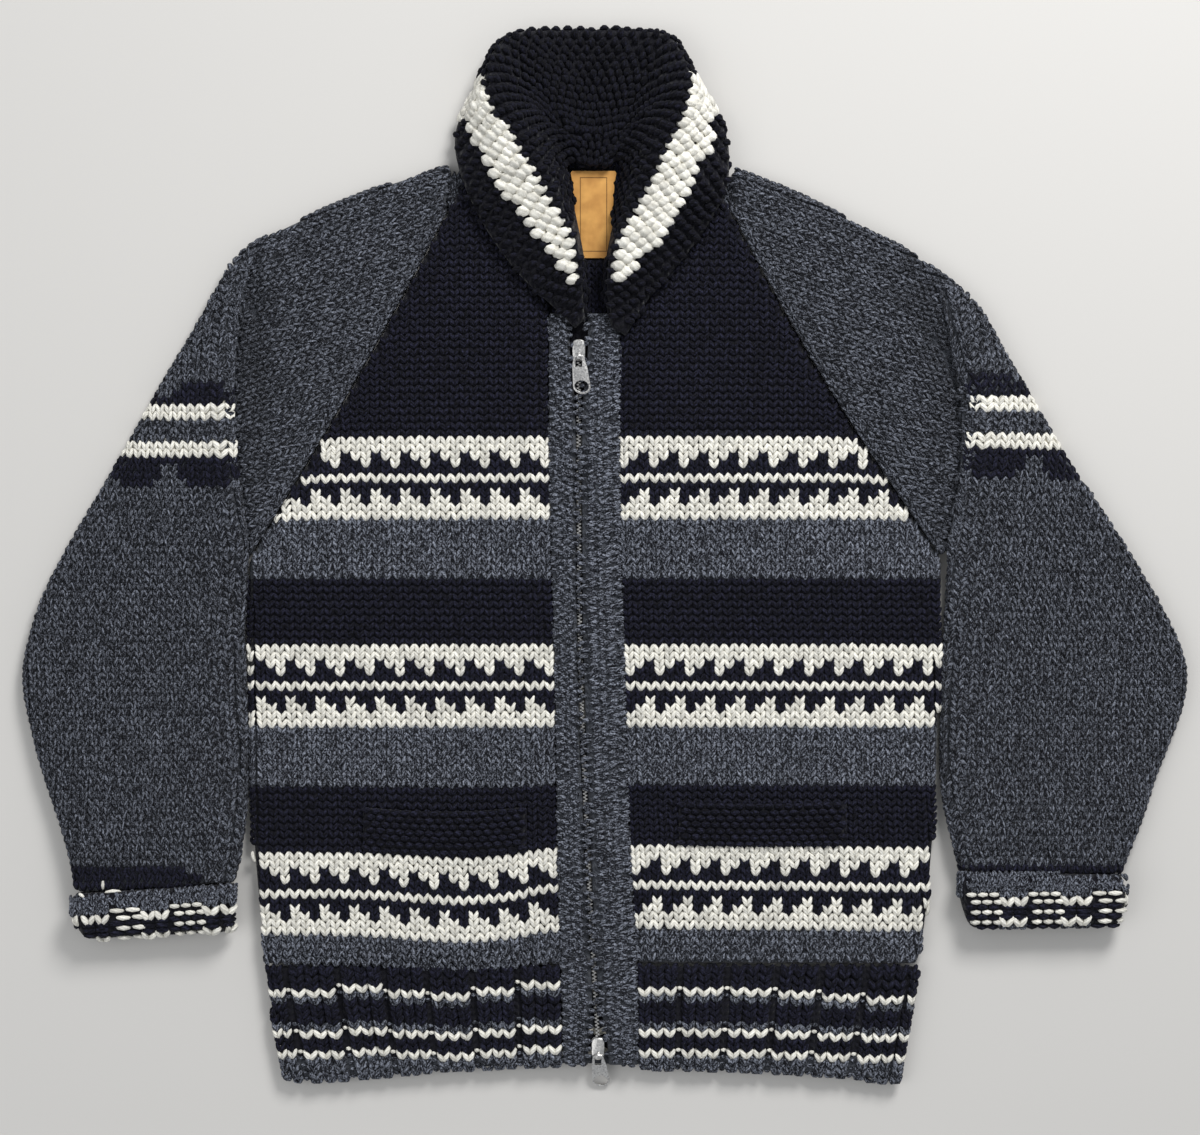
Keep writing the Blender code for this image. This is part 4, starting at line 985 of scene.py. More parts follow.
def knit_front(front):
    """Plain knitting from the neckline down to the hem."""
    piece = Knitting(front.name)
    surface = surfaces[front.name]
    reach = (-310.0, 0.0) if front.way < 0 else (0.0, 310.0)
    for row in range(-36, 72):
        y = max(FIRST_BAND_TOP - (row + 0.5) * ROW, FRONT_FOOT_Y)
        anchor = read(front.edge, y)
        for spot in walk_row(surface, at_mm(0, y), ALONG_X, reach, plain_spacing, anchor, 6.0):
            column = spot.number if front.way > 0 else -spot.number - 1
            if column < 0 and y < BAND_TOP_Y:
                continue
            if y > 0 and spot.out.z < 0.3:
                continue
            if covered(surfaces["collar"], spot.place, 14):
                continue
            if covered(surfaces[front.welt], spot.place, 5):
                continue
            x = taped(spot.place).x
            place = spot.place - NORTH * (sag_at(front, x, y) * MM)
            is_plain_black = band_at(BODY_BANDS, row)[0] == "black"
            tall = ROW * (BLACK_SQUASH if is_plain_black else 1.0)
            piece.knit(body_colour(row, column), place, NORTH, spot.out, spot.width, tall)
    return piece.cast_off()


extras = {front.name: knit_front(front) for front in FRONTS}


# %% [markdown]
# A sleeve shows two stretches of knitting. From the raglan seam the columns run outwards and
# down to a soft pleat. Beyond the pleat the lower sleeve lies on top with a rounded folded edge,
# and its columns hang straight down. Its columns are wide at the fold and narrow towards the
# outline. The armband is white, grey and white, between rows of black teeth. Shade is painted on
# the grey wool: a little over the whole sleeve, and more in the recess beside the pleat.

# %% Sleeves
Sleeve = namedtuple("Sleeve", "name way front fold band_y end_rows recess")
SLEEVES = (
    Sleeve(
        "sleeve_right", -1, FRONTS[0],
        (
            (-260, -293.0), (-230, -287.0), (-166, -281.6), (-113, -284.0), (-59, -286.0),
            (0, -284.0), (64, -294.0), (128, -299.0), (208, -294.4), (254, -280.0),
        ),
        124.0, ((-430, -245.5), (-340, -245.5), (-310, -255.0), (-288, -259.0)),
        ((110, -278.0), (150, -276.0), (184, -280.0), (232, -268.0)),
    ),
    Sleeve(
        "sleeve_left", 1, FRONTS[1],
        (
            (-237, 285.6), (-211, 280.0), (-187, 274.4), (-155, 272.0), (-91, 274.4), (-27, 280.8),
            (9, 286.4), (38, 291.2), (82, 297.6), (128, 302.4), (150, 292.8), (218, 275.2),
        ),
        131.0, ((288, -245.0), (420, -245.0)),
        ((110, 284.0), (160, 276.0), (210, 256.0), (232, 248.0)),
    ),
)
CAP_LEAN = math.radians(22.0)
TEETH_PERIOD = 8
SLEEVE_FOOT_Y = -262.0
CHAIN_FROM_SEAM = 4.4
CHAIN_STITCH = 6.4
# Painted shade in the recess beside the pleat: how much darker, how wide across, and its middle and
# reach along y, in mm.
PAINTED_PLEAT_SHADE = {"painted_shade": 0.34, "wide": 17.0, "y": 170.0, "high": 72.0}


def arm_spacing(n):
    """Columns of the lower sleeve: wide beside the fold, narrower away from it."""
    if n < 0:
        return n * 8.0
    return 6.6 * n + 10.5 * (1 - math.exp(-n / 1.8))


def arm_colour(sleeve, row, column, x, y):
    """The armband's chart, then plain grey, then the black rows above the cuff."""
    if y < read(sleeve.end_rows, x):
        return "black"
    if 0 <= row <= 7:
        return band_at(ARM_BANDS, row)[0]
    tooth = abs((column + 2) % TEETH_PERIOD - TEETH_PERIOD / 2 + 0.5)
    if row in (8, 9) and tooth < 3.2 or row == 10 and tooth < 1.6:
        return "black"
    if row == -1 or row == -2 and tooth < 3.2 or row == -3 and tooth < 1.6:
        return "black"
    return "grey"


def knit_sleeve(sleeve):
    """The lower sleeve with its armband, then the stretch above the pleat."""
    # Painted shade: the sleeve's grey stitches get the lower tone range.
    piece = Knitting(sleeve.name, grey=PAINTED_SHADE_TONE)
    surface = surfaces[sleeve.name]
    across = ALONG_X * sleeve.way
    fold_top = sleeve.fold[-1][0]
    for row in range(-24, 68):
        y = sleeve.band_y - (row + 0.5) * ROW
        if not SLEEVE_FOOT_Y < y < fold_top + 4:
            continue
        anchor = read(sleeve.fold, y) * sleeve.way
        start = at_mm(0, y)
        reach = (anchor - 12, 480.0)
        for spot in walk_row(surface, start, across, reach, arm_spacing, anchor, 3.0):
            if spot.number < -1:
                continue
            x = taped(spot.place).x
            colour = arm_colour(sleeve, row, spot.number, x, y)
            dip = 2.5 * swell(spot.number - 12, 5) if sleeve.way > 0 and row < 12 else 0.0
            place = spot.place - NORTH * (dip * MM)
            piece.knit(colour, place, NORTH, spot.out, spot.width, ROW)
    knit_cap(piece, sleeve, surface, fold_top)
    return piece.cast_off()


def knit_cap(piece, sleeve, surface, fold_top):
    """The stretch between the raglan seam and the pleat, and the chain along the seam."""
    up = Vector((-sleeve.way * math.cos(CAP_LEAN), math.sin(CAP_LEAN), 0.0))
    across = Vector((-sleeve.way * math.sin(CAP_LEAN), -math.cos(CAP_LEAN), 0.0))
    corner = at_mm(sleeve.way * 90.0, 330.0)
    for row in range(0, 56):
        start = corner - up * ((row + 0.5) * ROW * MM)
        for spot in walk_row(surface, start, across, (-60.0, 420.0), plain_spacing, 0.0, 6.0):
            x, y, z = taped(spot.place)
            outward = x * sleeve.way
            beside_seam = outward - seam_x(sleeve.front, y) * sleeve.way
            if y < 2.0 or beside_seam < 5.0:
                continue
            if y < fold_top and outward > read(sleeve.fold, y) * sleeve.way - 1.5:
                continue
            if covered(surfaces["collar"], spot.place, 12):
                continue
            # Painted shade: stitches near the recess line beside the pleat are set darker.
            pleat_shade_weight = swell(x - read(sleeve.recess, y), PAINTED_PLEAT_SHADE["wide"])
            piece.painted_shade = PAINTED_PLEAT_SHADE["painted_shade"] * pleat_shade_weight * swell(y - PAINTED_PLEAT_SHADE["y"], PAINTED_PLEAT_SHADE["high"])
            piece.knit("grey", spot.place, up, spot.out, spot.width, ROW)
    piece.painted_shade = 0.0
    along_seam = Vector((sleeve.front.neck_x - sleeve.front.arm_x, NECK_Y, 0.0)).normalized()
    y = 4.0
    while y < NECK_Y - 6.0:
        spot = drop(surface, seam_x(sleeve.front, y) + sleeve.way * CHAIN_FROM_SEAM, y)
        if spot is not None and not covered(surfaces["collar"], spot[0], 10):
            piece.knit("grey", spot[0], along_seam, spot[1], CHAIN_STITCH, ROW, 1.1)
        y += ROW * along_seam.y


extras.update({sleeve.name: knit_sleeve(sleeve) for sleeve in SLEEVES})

# %% [markdown]
# The hem is ribbed, three knit columns and one purl. The purl column sinks into a groove, so
# there the cloth is dark and small dashes mark the coloured rows, a little higher than in the
# knit columns. The white rows undulate from group to group, and a last row is cast off along the
# lower edge.

# %% Hem
Hem = namedtuple("Hem", "name way edge side grooves dips")
HEMS = (
    Hem(
        "hem_front_right", -1, ((-420, -30.0), (-324, -32.0)),
        ((-420, -250.0), (-340, -266.0), (-324, -268.0)),
        RIB_GROOVES["hem_front_right"], (-5.0, 0.0, 4.0, 2.0, -2.5, 1.5, 1.0),
    ),
    Hem(
        "hem_front_left", 1, ((-420, 32.0), (-324, 30.0)),
        ((-420, 237.0), (-340, 251.0), (-324, 254.5)),
        RIB_GROOVES["hem_front_left"], (0.0, 0.0, 0.5, 2.5, 5.0, 7.0),
    ),
)
HEM_ROWS = 17
HEM_GROOVE = 5.4
PURL_RISE = 2.6
HEM_TOP_GAP = 1.4
CAST_OFF_LIFT = 5.0


def hem_columns(hem, y):
    """Columns of one row: place, width, group number, and whether it is a purl column."""
    edge = read(hem.edge, y)
    side = read(hem.side, y)
    pull = (side - read(hem.side, -324)) / (side - edge)
    columns = []
    start = edge
    for group, groove in enumerate(list(hem.grooves) + [None]):
        if groove is None:
            end = side + hem.way * 3.0
            count = max(1, round(abs(end - start) / 9.9))
        else:
            groove = groove + pull * (groove - edge)
            end = groove - hem.way * HEM_GROOVE / 2
            count = 3
        for i in range(count):
            x = start + (end - start) * (i + 0.5) / count
            columns.append((x, abs(end - start) / count, group, False))
        if groove is not None:
            columns.append((groove, HEM_GROOVE, group, True))
            start = groove + hem.way * HEM_GROOVE / 2
    return columns


def knit_hem(hem):
    """Three knit columns and a purl one, row by row from the top."""
    piece = Knitting(hem.name)
    surface = surfaces[hem.name]
    ended = set()
    for row in range(-1, HEM_ROWS):
        level = HEM_HEAD - (row + 0.5) * HEM_ROW
        colour = band_at(HEM_BANDS, max(row, 0))[0]
        for index, (x, width, group, is_purl) in enumerate(hem_columns(hem, level)):
            if index in ended:
                continue
            dip = hem.dips[group] * (1.0 if row < 6 else 0.6) * min(1.0, (row + 1.5) / 3)
            y = min(level - dip + (PURL_RISE if is_purl else 0.0), HEM_HEAD - HEM_TOP_GAP)
            spot = drop(surface, x, y) or drop(surface, x - hem.way * 3.0, y)
            lift = 0.0
            while spot is None and lift < CAST_OFF_LIFT:
                ended.add(index)
                lift += 1.0
                spot = drop(surface, x, y + lift)
            if spot is None:
                continue
            if not is_purl:
                piece.knit(colour, spot[0], NORTH, spot[1], width * 0.96, HEM_ROW * 1.08, 1.3)
            elif colour != "black":
                piece.add(colour, "dash", spot[0], NORTH, spot[1], 4.8, 3.8, 0.8)
    return piece.cast_off()


extras.update({hem.name: knit_hem(hem) for hem in HEMS})

# %% [markdown]
# The cuffs are turned back, so they show the wrong side of their rib. Wide groups of purl dashes
# stand between narrow groups of V shapes. Some colours show only in the wide groups.

# %% Cuffs
Cuff = namedtuple("Cuff", "name level slope middle groups")
CuffRow = namedtuple("CuffRow", "down wide narrow")
CUFF_ROWS = (
    CuffRow(-21.5, "grey", "grey"), CuffRow(-17.6, "grey", "grey"),
    CuffRow(-13.6, "grey", "grey"), CuffRow(-9.8, "grey", "grey"),
    CuffRow(-6.0, "cream", "grey"), CuffRow(0.0, "cream", "cream"),
    CuffRow(4.2, "black", "black"), CuffRow(8.0, "cream", "black"),
    CuffRow(12.0, "black", "black"), CuffRow(16.0, "cream", "cream"),
    CuffRow(20.0, "black", "grey"),
)
CUFFS = (
    Cuff(
        "cuff_right", -282.4, 0.078, -352.0,
        (
            (-422, -412, "narrow"), (-412, -391, "narrow"), (-391, -365, "wide"),
            (-365, -343, "narrow"), (-343, -316, "wide"), (-316, -289, "narrow"),
        ),
    ),
    Cuff(
        "cuff_left", -271.6, 0.012, 352.0,
        (
            (285, 291, "narrow"), (291, 318, "wide"), (318, 340, "narrow"), (340, 367, "wide"),
            (367, 391, "narrow"), (391, 416, "wide"), (416, 422, "narrow"),
        ),
    ),
)


CUFF_STITCH = {"wide": 10.4, "narrow": 11.2}


def knit_cuff(cuff):
    """V shapes in the narrow groups, purl dashes in the wide ones, grey in finer stitches."""
    piece = Knitting(cuff.name)
    surface = surfaces[cuff.name]
    for index, row in enumerate(CUFF_ROWS):
        for left, right, kind in cuff.groups:
            count = max(1, round((right - left) / CUFF_STITCH[kind]))
            width = (right - left) / count
            colour = row.wide if kind == "wide" else row.narrow
            shift = 0.4 if kind == "wide" and index % 2 else 0.0
            for i in range(count):
                x = left + (i + 0.5 + shift) * width
                y = cuff.level - row.down + cuff.slope * (x - cuff.middle)
                spot = drop(surface, x, y)
                if spot is None:
                    continue
                if kind == "narrow" and colour == "cream":
                    piece.knit(colour, spot[0], NORTH, spot[1], width, 6.4, 1.2)
                elif colour == "grey":
                    for side in (-0.25, 0.25):
                        place = spot[0] + ALONG_X * (side * width * MM)
                        piece.knit(colour, place, NORTH, spot[1], width * 0.55, 4.6, 0.9)
                elif colour == "cream":
                    piece.add(colour, "dash", spot[0], NORTH, spot[1], width, 4.6, 1.3)
                else:
                    piece.add(colour, "dash", spot[0], NORTH, spot[1], width * 1.05, 5.6, 1.2)
    return piece.cast_off()


extras.update({cuff.name: knit_cuff(cuff) for cuff in CUFFS})

# %% [markdown]
# Where a colour begins or ends, a maker leaves short ends of yarn. Three cream ones show just
# above the right cuff, and one strand laid along each is enough.

# %% Cream ends above the right cuff
Speck = namedtuple("Speck", "x y length turn")
SPECKS = (Speck(-396, -259, 8.0, 90), Speck(-388, -264.5, 14.0, 4), Speck(-412.5, -267, 6.0, -30))
ends = Knitting("yarn_ends")
for speck in SPECKS:
    on_sleeve = drop(surfaces["sleeve_right"], speck.x, speck.y)
    spot = on_sleeve or drop(surfaces["cuff_right"], speck.x, speck.y)
    turn = math.radians(speck.turn)
    upward = Vector((-math.sin(turn), math.cos(turn), 0.0))
    ends.add("cream", "dash", spot[0] + SKY * (1.5 * MM), upward, spot[1], speck.length, 3.2, 1.0)
extras["cuff_right"] += ends.cast_off()

# %% [markdown]
# The collar is a strip of pebbly knitting. Each row runs across the strip, and its bumps stand
# two stitches apart, staggered like bricks against the rows beside it. Rows ruled straight across
# would crowd where the strip bends, so each has its own line, from the seam over the crest of the
# roll to the outer edge. The cream stripe is worked in thicker yarn along the top of the roll.

# %% Collar
CollarLine = namedtuple("CollarLine", "seam_x seam_y crest_x crest_y edge_x edge_y")
COLLAR_LINES = (
    CollarLine(-12.5, 189, -14, 190, -20, 184),
    CollarLine(-11.5, 214, -17, 216, -38, 201),
    CollarLine(-13, 238, -17, 240, -60, 219),
    CollarLine(-17, 260, -24, 264, -81, 243),
    CollarLine(-22, 284, -38, 287, -99, 271),
    CollarLine(-25.5, 304, -53, 311, -112, 299),
    CollarLine(-27.5, 314, -67, 335, -119, 327),
    CollarLine(-28, 319, -79, 358, -116, 350),
    CollarLine(-26, 321, -87, 382, -101, 376),
    CollarLine(-22, 320, -83, 404, -89, 405),
    CollarLine(-17, 318.5, -64, 419, -68, 423),
    CollarLine(-11, 317, -34, 420, -35, 425),
    CollarLine(-4.5, 316.5, -4, 420, -4, 425),
    CollarLine(2, 317, 32, 420, 33, 425),
    CollarLine(8, 318.5, 53, 416, 57, 420),
    CollarLine(13, 320, 64, 400, 70, 402),
    CollarLine(17.5, 321, 70, 378, 85, 374),
    CollarLine(19.5, 319, 66, 356, 99, 352),
    CollarLine(19.5, 314, 54, 332, 106, 330),
    CollarLine(18, 304, 41, 305, 106, 300),
    CollarLine(14, 282, 25, 276, 98, 281),
    CollarLine(9, 258, 13, 254, 84, 258),
    CollarLine(5, 236, 8, 234, 64, 234),
    CollarLine(4.5, 210, 8, 209, 40, 208),
    CollarLine(10.5, 184, 13, 183, 21, 178),
)
Stripe = namedtuple("Stripe", "y left_outer left_inner right_inner right_outer")
STRIPES = (
    Stripe(209.6, -17.0, -16.5, 9.5, 10.0),
    Stripe(228.0, -29.6, -16.5, 8.5, 26.0),
    Stripe(247.0, -44.5, -18.0, 10.5, 43.0),
    Stripe(271.2, -62.0, -26.5, 22.0, 58.5),
    Stripe(295.2, -83.0, -43.0, 35.5, 73.0),
    Stripe(316.0, -93.0, -56.0, 46.0, 83.5),
    Stripe(337.6, -104.8, -71.0, 57.0, 91.0),
    Stripe(352.8, -106.4, -81.0, 64.0, 93.0),
    Stripe(354.0, -120.0, -81.4, 64.4, 112.0),
    Stripe(367.2, -118.0, -86.0, 69.0, 106.0),
    Stripe(386.0, -112.0, -91.0, 71.5, 100.0),
)
COLLAR_ROW = 4.5
COLLAR_STITCH = 6.4
COLLAR_BUMPS = {"cream": (13.2, 10.4, 2.0), "black": (8.4, 6.0, 1.9)}
LEAST_APART = 3.6
CELL = 4.2
LABEL_X = -5.0


def stripe_holds(x, y):
    """True where the cream stripe shows."""
    if not STRIPES[0].y < y < STRIPES[-1].y:
        return False
    edges = [read([(s.y, s[k]) for s in STRIPES], y) for k in range(1, 5)]
    for outer, inner in ((edges[0], edges[1]), (edges[2], edges[3])):
        margin = min(2.2, 0.3 * (inner - outer))
        if outer + margin < x < inner - margin:
            return True
    return False


def collar_line(at):
    """The plan line of one row of the collar."""
    values = []
    for k in range(6):
        values.append(read([(i, line[k]) for i, line in enumerate(COLLAR_LINES)], at))
    return CollarLine(*values)


def collar_rows():
    """Places of the rows, evenly spaced along the crest."""
    places = [0.3]
    last = collar_line(places[0])
    at = places[0]
    while at < len(COLLAR_LINES) - 1.3:
        at += 0.01
        line = collar_line(at)
        if math.hypot(line.crest_x - last.crest_x, line.crest_y - last.crest_y) >= COLLAR_ROW:
            places.append(at)
            last = line
    return places


def is_crowded(taken, place, least):
    """True where a bump already stands closer than the least distance. Else the place is noted."""
    cell = tuple(round(v / (CELL * MM)) for v in place)
    around = [(a, b, c) for a in (-1, 0, 1) for b in (-1, 0, 1) for c in (-1, 0, 1)]
    for step in around:
        for other in taken.get(tuple(v + s for v, s in zip(cell, step)), ()):
            if (other - place).length < least * MM:
                return True
    taken.setdefault(cell, []).append(place)
    return False


def knit_collar():
    """Bumps along each row's own line, none too close to another."""
    # Painted shade: the collar's black stitches get a low tone range, for the shade in its folds.
    piece = Knitting("collar", black=(0.0, 0.15))
    surface = surfaces["collar"]
    taken = {}
    for index, at in enumerate(collar_rows()):
        line = collar_line(at)
        seam = Vector((line.seam_x, line.seam_y, 0.0))
        edge = Vector((line.edge_x, line.edge_y, 0.0))
        crest = Vector((line.crest_x, line.crest_y, 0.0))
        across = (edge - seam).normalized()
        run = across.cross(SKY)
        reach = (-(crest - seam).length - 2.0, (edge - crest).length + 2.0)
        stagger = COLLAR_STITCH if index % 2 else 0.0

        def spacing(n, stagger=stagger):
            return n * COLLAR_STITCH * 2 + stagger

        start = at_mm(crest.x, crest.y)
        for spot in walk_row(surface, start, across, reach, spacing, 0.0, 8.0):
            if is_crowded(taken, spot.place, LEAST_APART):
                continue
            x, y, z = taped(spot.place)
            proud = 0.5 + 0.5 * max(0.0, spot.out.z)
            is_cream = stripe_holds(x, y)
            if 240.0 < y < 286.0 and abs(x - LABEL_X) < 15.5 and not is_cream:
                continue
            turned = run + across * DRAW.normal(0.0, 0.12)
            if spot.out.z < 0.5:
                turned = SKY + run * DRAW.normal(0.0, 0.2)
            place = spot.place + (run * DRAW.normal(0.0, 0.4) + across * DRAW.normal(0.0, 0.5)) * MM
            size = DRAW.uniform(0.92, 1.08)
            colour = "cream" if is_cream else "black"
            wide, tall, thick = COLLAR_BUMPS[colour]
            wide, tall, thick = wide * size, tall * size, thick * proud
            piece.add(colour, "bump", place, turned, spot.out, wide, tall, thick)
    return piece.cast_off()


extras["collar"] = knit_collar()

# %% [markdown]
# Beside the zip the bands are worked in fine strands that lie across, in five columns. Those of
# the inner column lip over the zip, and where one is missing the teeth glint. Which ones are
# missing follows a sum on the row's number, so that it is uneven and always the same.

# %% Zip bands
ZIP_LINE = (
    (-420, -1.0), (-396, -1.5), (-378, -2.0), (-352, -3.5), (-272, -8.0), (-160, -13.0),
    (-60, -16.0), (60, -17.0), (140, -17.0), (210, -17.0),
)
ZIP_GAP = ((-420, 7.6), (-396, 7.2), (-378, 5.9), (-352, 1.7), (140, 1.5), (158, 6.0), (210, 6.0))
BAND_ROW = 3.1
BAND_STRAND = 4.6
BandColumn = namedtuple("BandColumn", "share width")
BAND_COLUMNS = (
    BandColumn(0.09, 8.6), BandColumn(0.32, 7.4), BandColumn(0.51, 5.0),
    BandColumn(0.70, 8.0), BandColumn(0.91, 7.6),
)
BAND_FOOT_Y = -403.5
BAND_HEAD_Y = 198.0


def knit_band(name, way, edge_table):
    """Five columns of fine strands that lie across."""
    piece = Knitting(name)
    surface = surfaces[name]
    y = BAND_FOOT_Y
    row = 0
    while y < BAND_HEAD_Y:
        inner = read(ZIP_LINE, y) + way * (read(ZIP_GAP, y) - 0.9)
        outer = read(edge_table, y)
        for index, column in enumerate(BAND_COLUMNS):
            x = inner + (outer - inner) * column.share
            jitter = DRAW.normal(0.0, 0.5, 2)
            jitter[0] += column.width * (0.14 if (row + index) % 2 else -0.14)
            spot = drop(surface, x + jitter[0], y + jitter[1])
            if spot is None or covered(surfaces["collar"], spot[0], 8):
                continue
            if index == 0 and row * row % 23 < 3:
                continue
            lip = Vector((-way * 1.5, 0.0, 1.0)) * (MM if index == 0 else 0.0)
            turn = Vector((DRAW.normal(0.0, 0.22) - way * 0.14, 1.0, 0.0))
            size = column.width * (outer - inner) * way / 30.0
            piece.add("grey", "bump", spot[0] + lip, turn, spot[1], size, BAND_STRAND, 0.9)
        y += BAND_ROW
        row += 1
    return piece.cast_off()


extras["zip_band_right"] = knit_band("zip_band_right", -1, ((-404, -31.0),) + FRONTS[0].edge)
extras["zip_band_left"] = knit_band("zip_band_left", 1, ((-404, 32.0),) + FRONTS[1].edge)

# %% [markdown]
# Three small stretches are left. The pocket welts are pebbly like the collar, and sag between
# their ends. The inside of the back shows through the neck. And where a shoulder seam runs in
# under the collar, a few stitches close the corner between sleeve and collar.

# %% Pocket welts, the inside of the neck and the shoulders' ends
Welt = namedtuple("Welt", "name left right head sag")
WELTS = (
    Welt("pocket_welt_right", -190.0, -58.0, -197.0, 4.0),
    Welt("pocket_welt_left", 62.0, 198.0, -193.0, 1.5),
)
WELT_ROWS = 7
WELT_ROW = 5.0
WELT_PITCH = 7.8
NECK_STITCH = 6.4
NECK_ROW = 5.4
SHOULDER_STITCH = 4.4
SHOULDER_ROW = 4.6


def knit_welt(welt):
    """Rows of bumps, staggered."""
    piece = Knitting(welt.name)
    middle = (welt.left + welt.right) / 2
    half = (welt.right - welt.left) / 2
    for row in range(WELT_ROWS):
        x = welt.left + 3.0 + (WELT_PITCH / 2 if row % 2 else 0.0)
        while x < welt.right - 2.0:
            sag = welt.sag * (1 - ((x - middle) / half) ** 2)
            spot = drop(surfaces[welt.name], x, welt.head - 2.4 - row * WELT_ROW - sag)
            if spot is not None:
                piece.add("black", "bump", spot[0], NORTH, spot[1], 7.6, 5.4, 1.3)
            x += WELT_PITCH
    return piece.cast_off()


def knit_neck():
    """Small plain stitches on the inside of the back, seen through the neck."""
    piece = Knitting("back_neck")
    for row in range(-2, 24):
        for column in range(-7, 6):
            x = -4.0 + column * NECK_STITCH
            y = 318.0 - row * NECK_ROW
            spot = drop(surfaces["back"], x, y) or (at_mm(x, y, 4.6), SKY)
            if 241.0 < y < 314.0 and abs(x - LABEL_X) < 19.0:
                continue
            if covered(surfaces["collar"], spot[0], 4):
                continue
            piece.knit("black", spot[0], NORTH, spot[1], NECK_STITCH, NECK_ROW, 0.9)
    return piece.cast_off()


def knit_shoulder(name, left, foot, head):
    """The end of a shoulder seam, tucked between the sleeve and the collar's fall."""
    # Painted shade: these tucked-in stitches get the lower tone range.
    piece = Knitting(name, grey=PAINTED_SHADE_TONE)
    for row in range(int((head - foot) / SHOULDER_ROW)):
        for column in range(3):
            place = at_mm(left + column * SHOULDER_STITCH, foot + row * SHOULDER_ROW, 6.4)
            piece.knit("grey", place, NORTH, SKY, 5.4, 5.4, 1.1)
    return piece.cast_off()


extras.update({welt.name: knit_welt(welt) for welt in WELTS})
extras["back"] = knit_neck()
extras["sleeve_right"] += knit_shoulder("shoulder_right", -119.0, 285.0, 317.0)
extras["sleeve_left"] += knit_shoulder("shoulder_left", 99.0, 281.0, 312.0)

# %% [markdown]
# The neck label is a strip of tan leather, sewn down its sides. The sewing pulls notches into its
# edges, which a bevelled box wouldn't have, so its outline is drawn point by point and given a
# thickness. It is left bare but for a pressed border, which the material draws.

# %% Leather label
LABEL_HEAD = 312.0
LABEL_FOOT = 242.0
LABEL_FLOOR = 5.8
LABEL_THICK = 1.5
LABEL_MIDDLE = -5.2
LABEL_NOTCHES = 7.0
LABEL_STEPS = 36
BORDER_X = 10.6
BORDER_Y = 29.5
LABEL_HALF_WIDTHS = ((0, 12.5), (0.25, 14.4), (0.6, 16.0), (0.85, 17.0), (1, 18.8))


def label_outline():
    """The label's edge in plan, with a notch at each stitch of its sides."""
    points = []
    for side in (1, -1):
        for i in range(LABEL_STEPS + 1):
            t = i / LABEL_STEPS if side > 0 else 1 - i / LABEL_STEPS
            y = LABEL_FOOT + (LABEL_HEAD - LABEL_FOOT) * t
            notch = 1.3 * max(0.0, math.cos(2 * math.pi * t * LABEL_NOTCHES)) ** 3
            points.append((LABEL_MIDDLE + side * (read(LABEL_HALF_WIDTHS, t) - notch), y))
    return points


def make_leather():
    """Tanned leather: grain, soft mottling and the pressed border."""
    tree = Tree("tan_leather", roughness=0.55)
    place = tree.place()
    x, y, z = tree.axes(place)
    grain = tree.noise(place, 900.0, 4.0)
    mottle = tree.noise(place, 90.0, 2.0)
    base = tree.blend(tree.spread(mottle, 0.3, 0.7), rgb(0.52, 0.25, 0.066), rgb(0.74, 0.39, 0.11))
    from_middle = (x - at_mm(LABEL_MIDDLE, 0).x).math("ABSOLUTE")
    from_centre = (y - at_mm(0, 277.0).y).math("ABSOLUTE")
    near_side = (from_middle - BORDER_X * MM).math("ABSOLUTE") < 0.35 * MM
    near_end = (from_centre - BORDER_Y * MM).math("ABSOLUTE") < 0.35 * MM
    sides = near_side * (from_centre < (BORDER_Y + 0.3) * MM)
    ends = near_end * (from_middle < (BORDER_X + 0.3) * MM)
    line = sides.math("MAXIMUM", ends)
    tree.feed("Base Color", tree.scaled(base, 1 - line * 0.65))
    tree.bump(grain * 0.4 - line, 0.0004, 0.7)
    return tree.material


def make_label():
    """The outline with a thickness and softened edges."""
    outline = label_outline()
    mesh = bpy.data.meshes.new("leather_label")
    count = len(outline)
    low = [tuple(at_mm(x, y, LABEL_FLOOR)) for x, y in outline]
    high = [tuple(at_mm(x, y, LABEL_FLOOR + LABEL_THICK)) for x, y in outline]
    faces = [tuple(range(count, 2 * count)), tuple(reversed(range(count)))]
    faces += [(i, (i + 1) % count, (i + 1) % count + count, i + count) for i in range(count)]
    mesh.from_pydata(low + high, [], faces)
    mesh.materials.append(make_leather())
    label = bpy.data.objects.new("leather_label", mesh)
    bpy.context.scene.collection.objects.link(label)
    bevel = label.modifiers.new("Soft edge", "BEVEL")
    bevel.width = 0.3 * MM
    bevel.segments = 2
    bpy.context.view_layer.objects.active = label
    bpy.ops.object.modifier_apply(modifier=bevel.name)
    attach(label, "garment")
    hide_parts("neck_label")
    return label


label = make_label()
print("label, mm:", [round(v / MM, 1) for v in label.dimensions])

# %% [markdown]
# The zip's sliders and pull tabs are cast metal. They keep the solids' form, and a small bevel
# gives every edge the line of light that a sharp one can't catch.


# %% Metal
def make_metal():
    """Worn nickel, brighter where it is rubbed."""
    tree = Tree("zip_metal", roughness=0.32, metallic=1.0)
    place = tree.place()
    wear = tree.noise(place, 700.0, 3.0)
    base = tree.blend(tree.spread(wear, 0.35, 0.7), rgb(0.46, 0.45, 0.44), rgb(0.74, 0.73, 0.71))
    tree.feed("Base Color", base)
    tree.feed("Roughness", tree.spread(wear, 0.3, 0.7, 0.24, 0.42))
    return tree.material


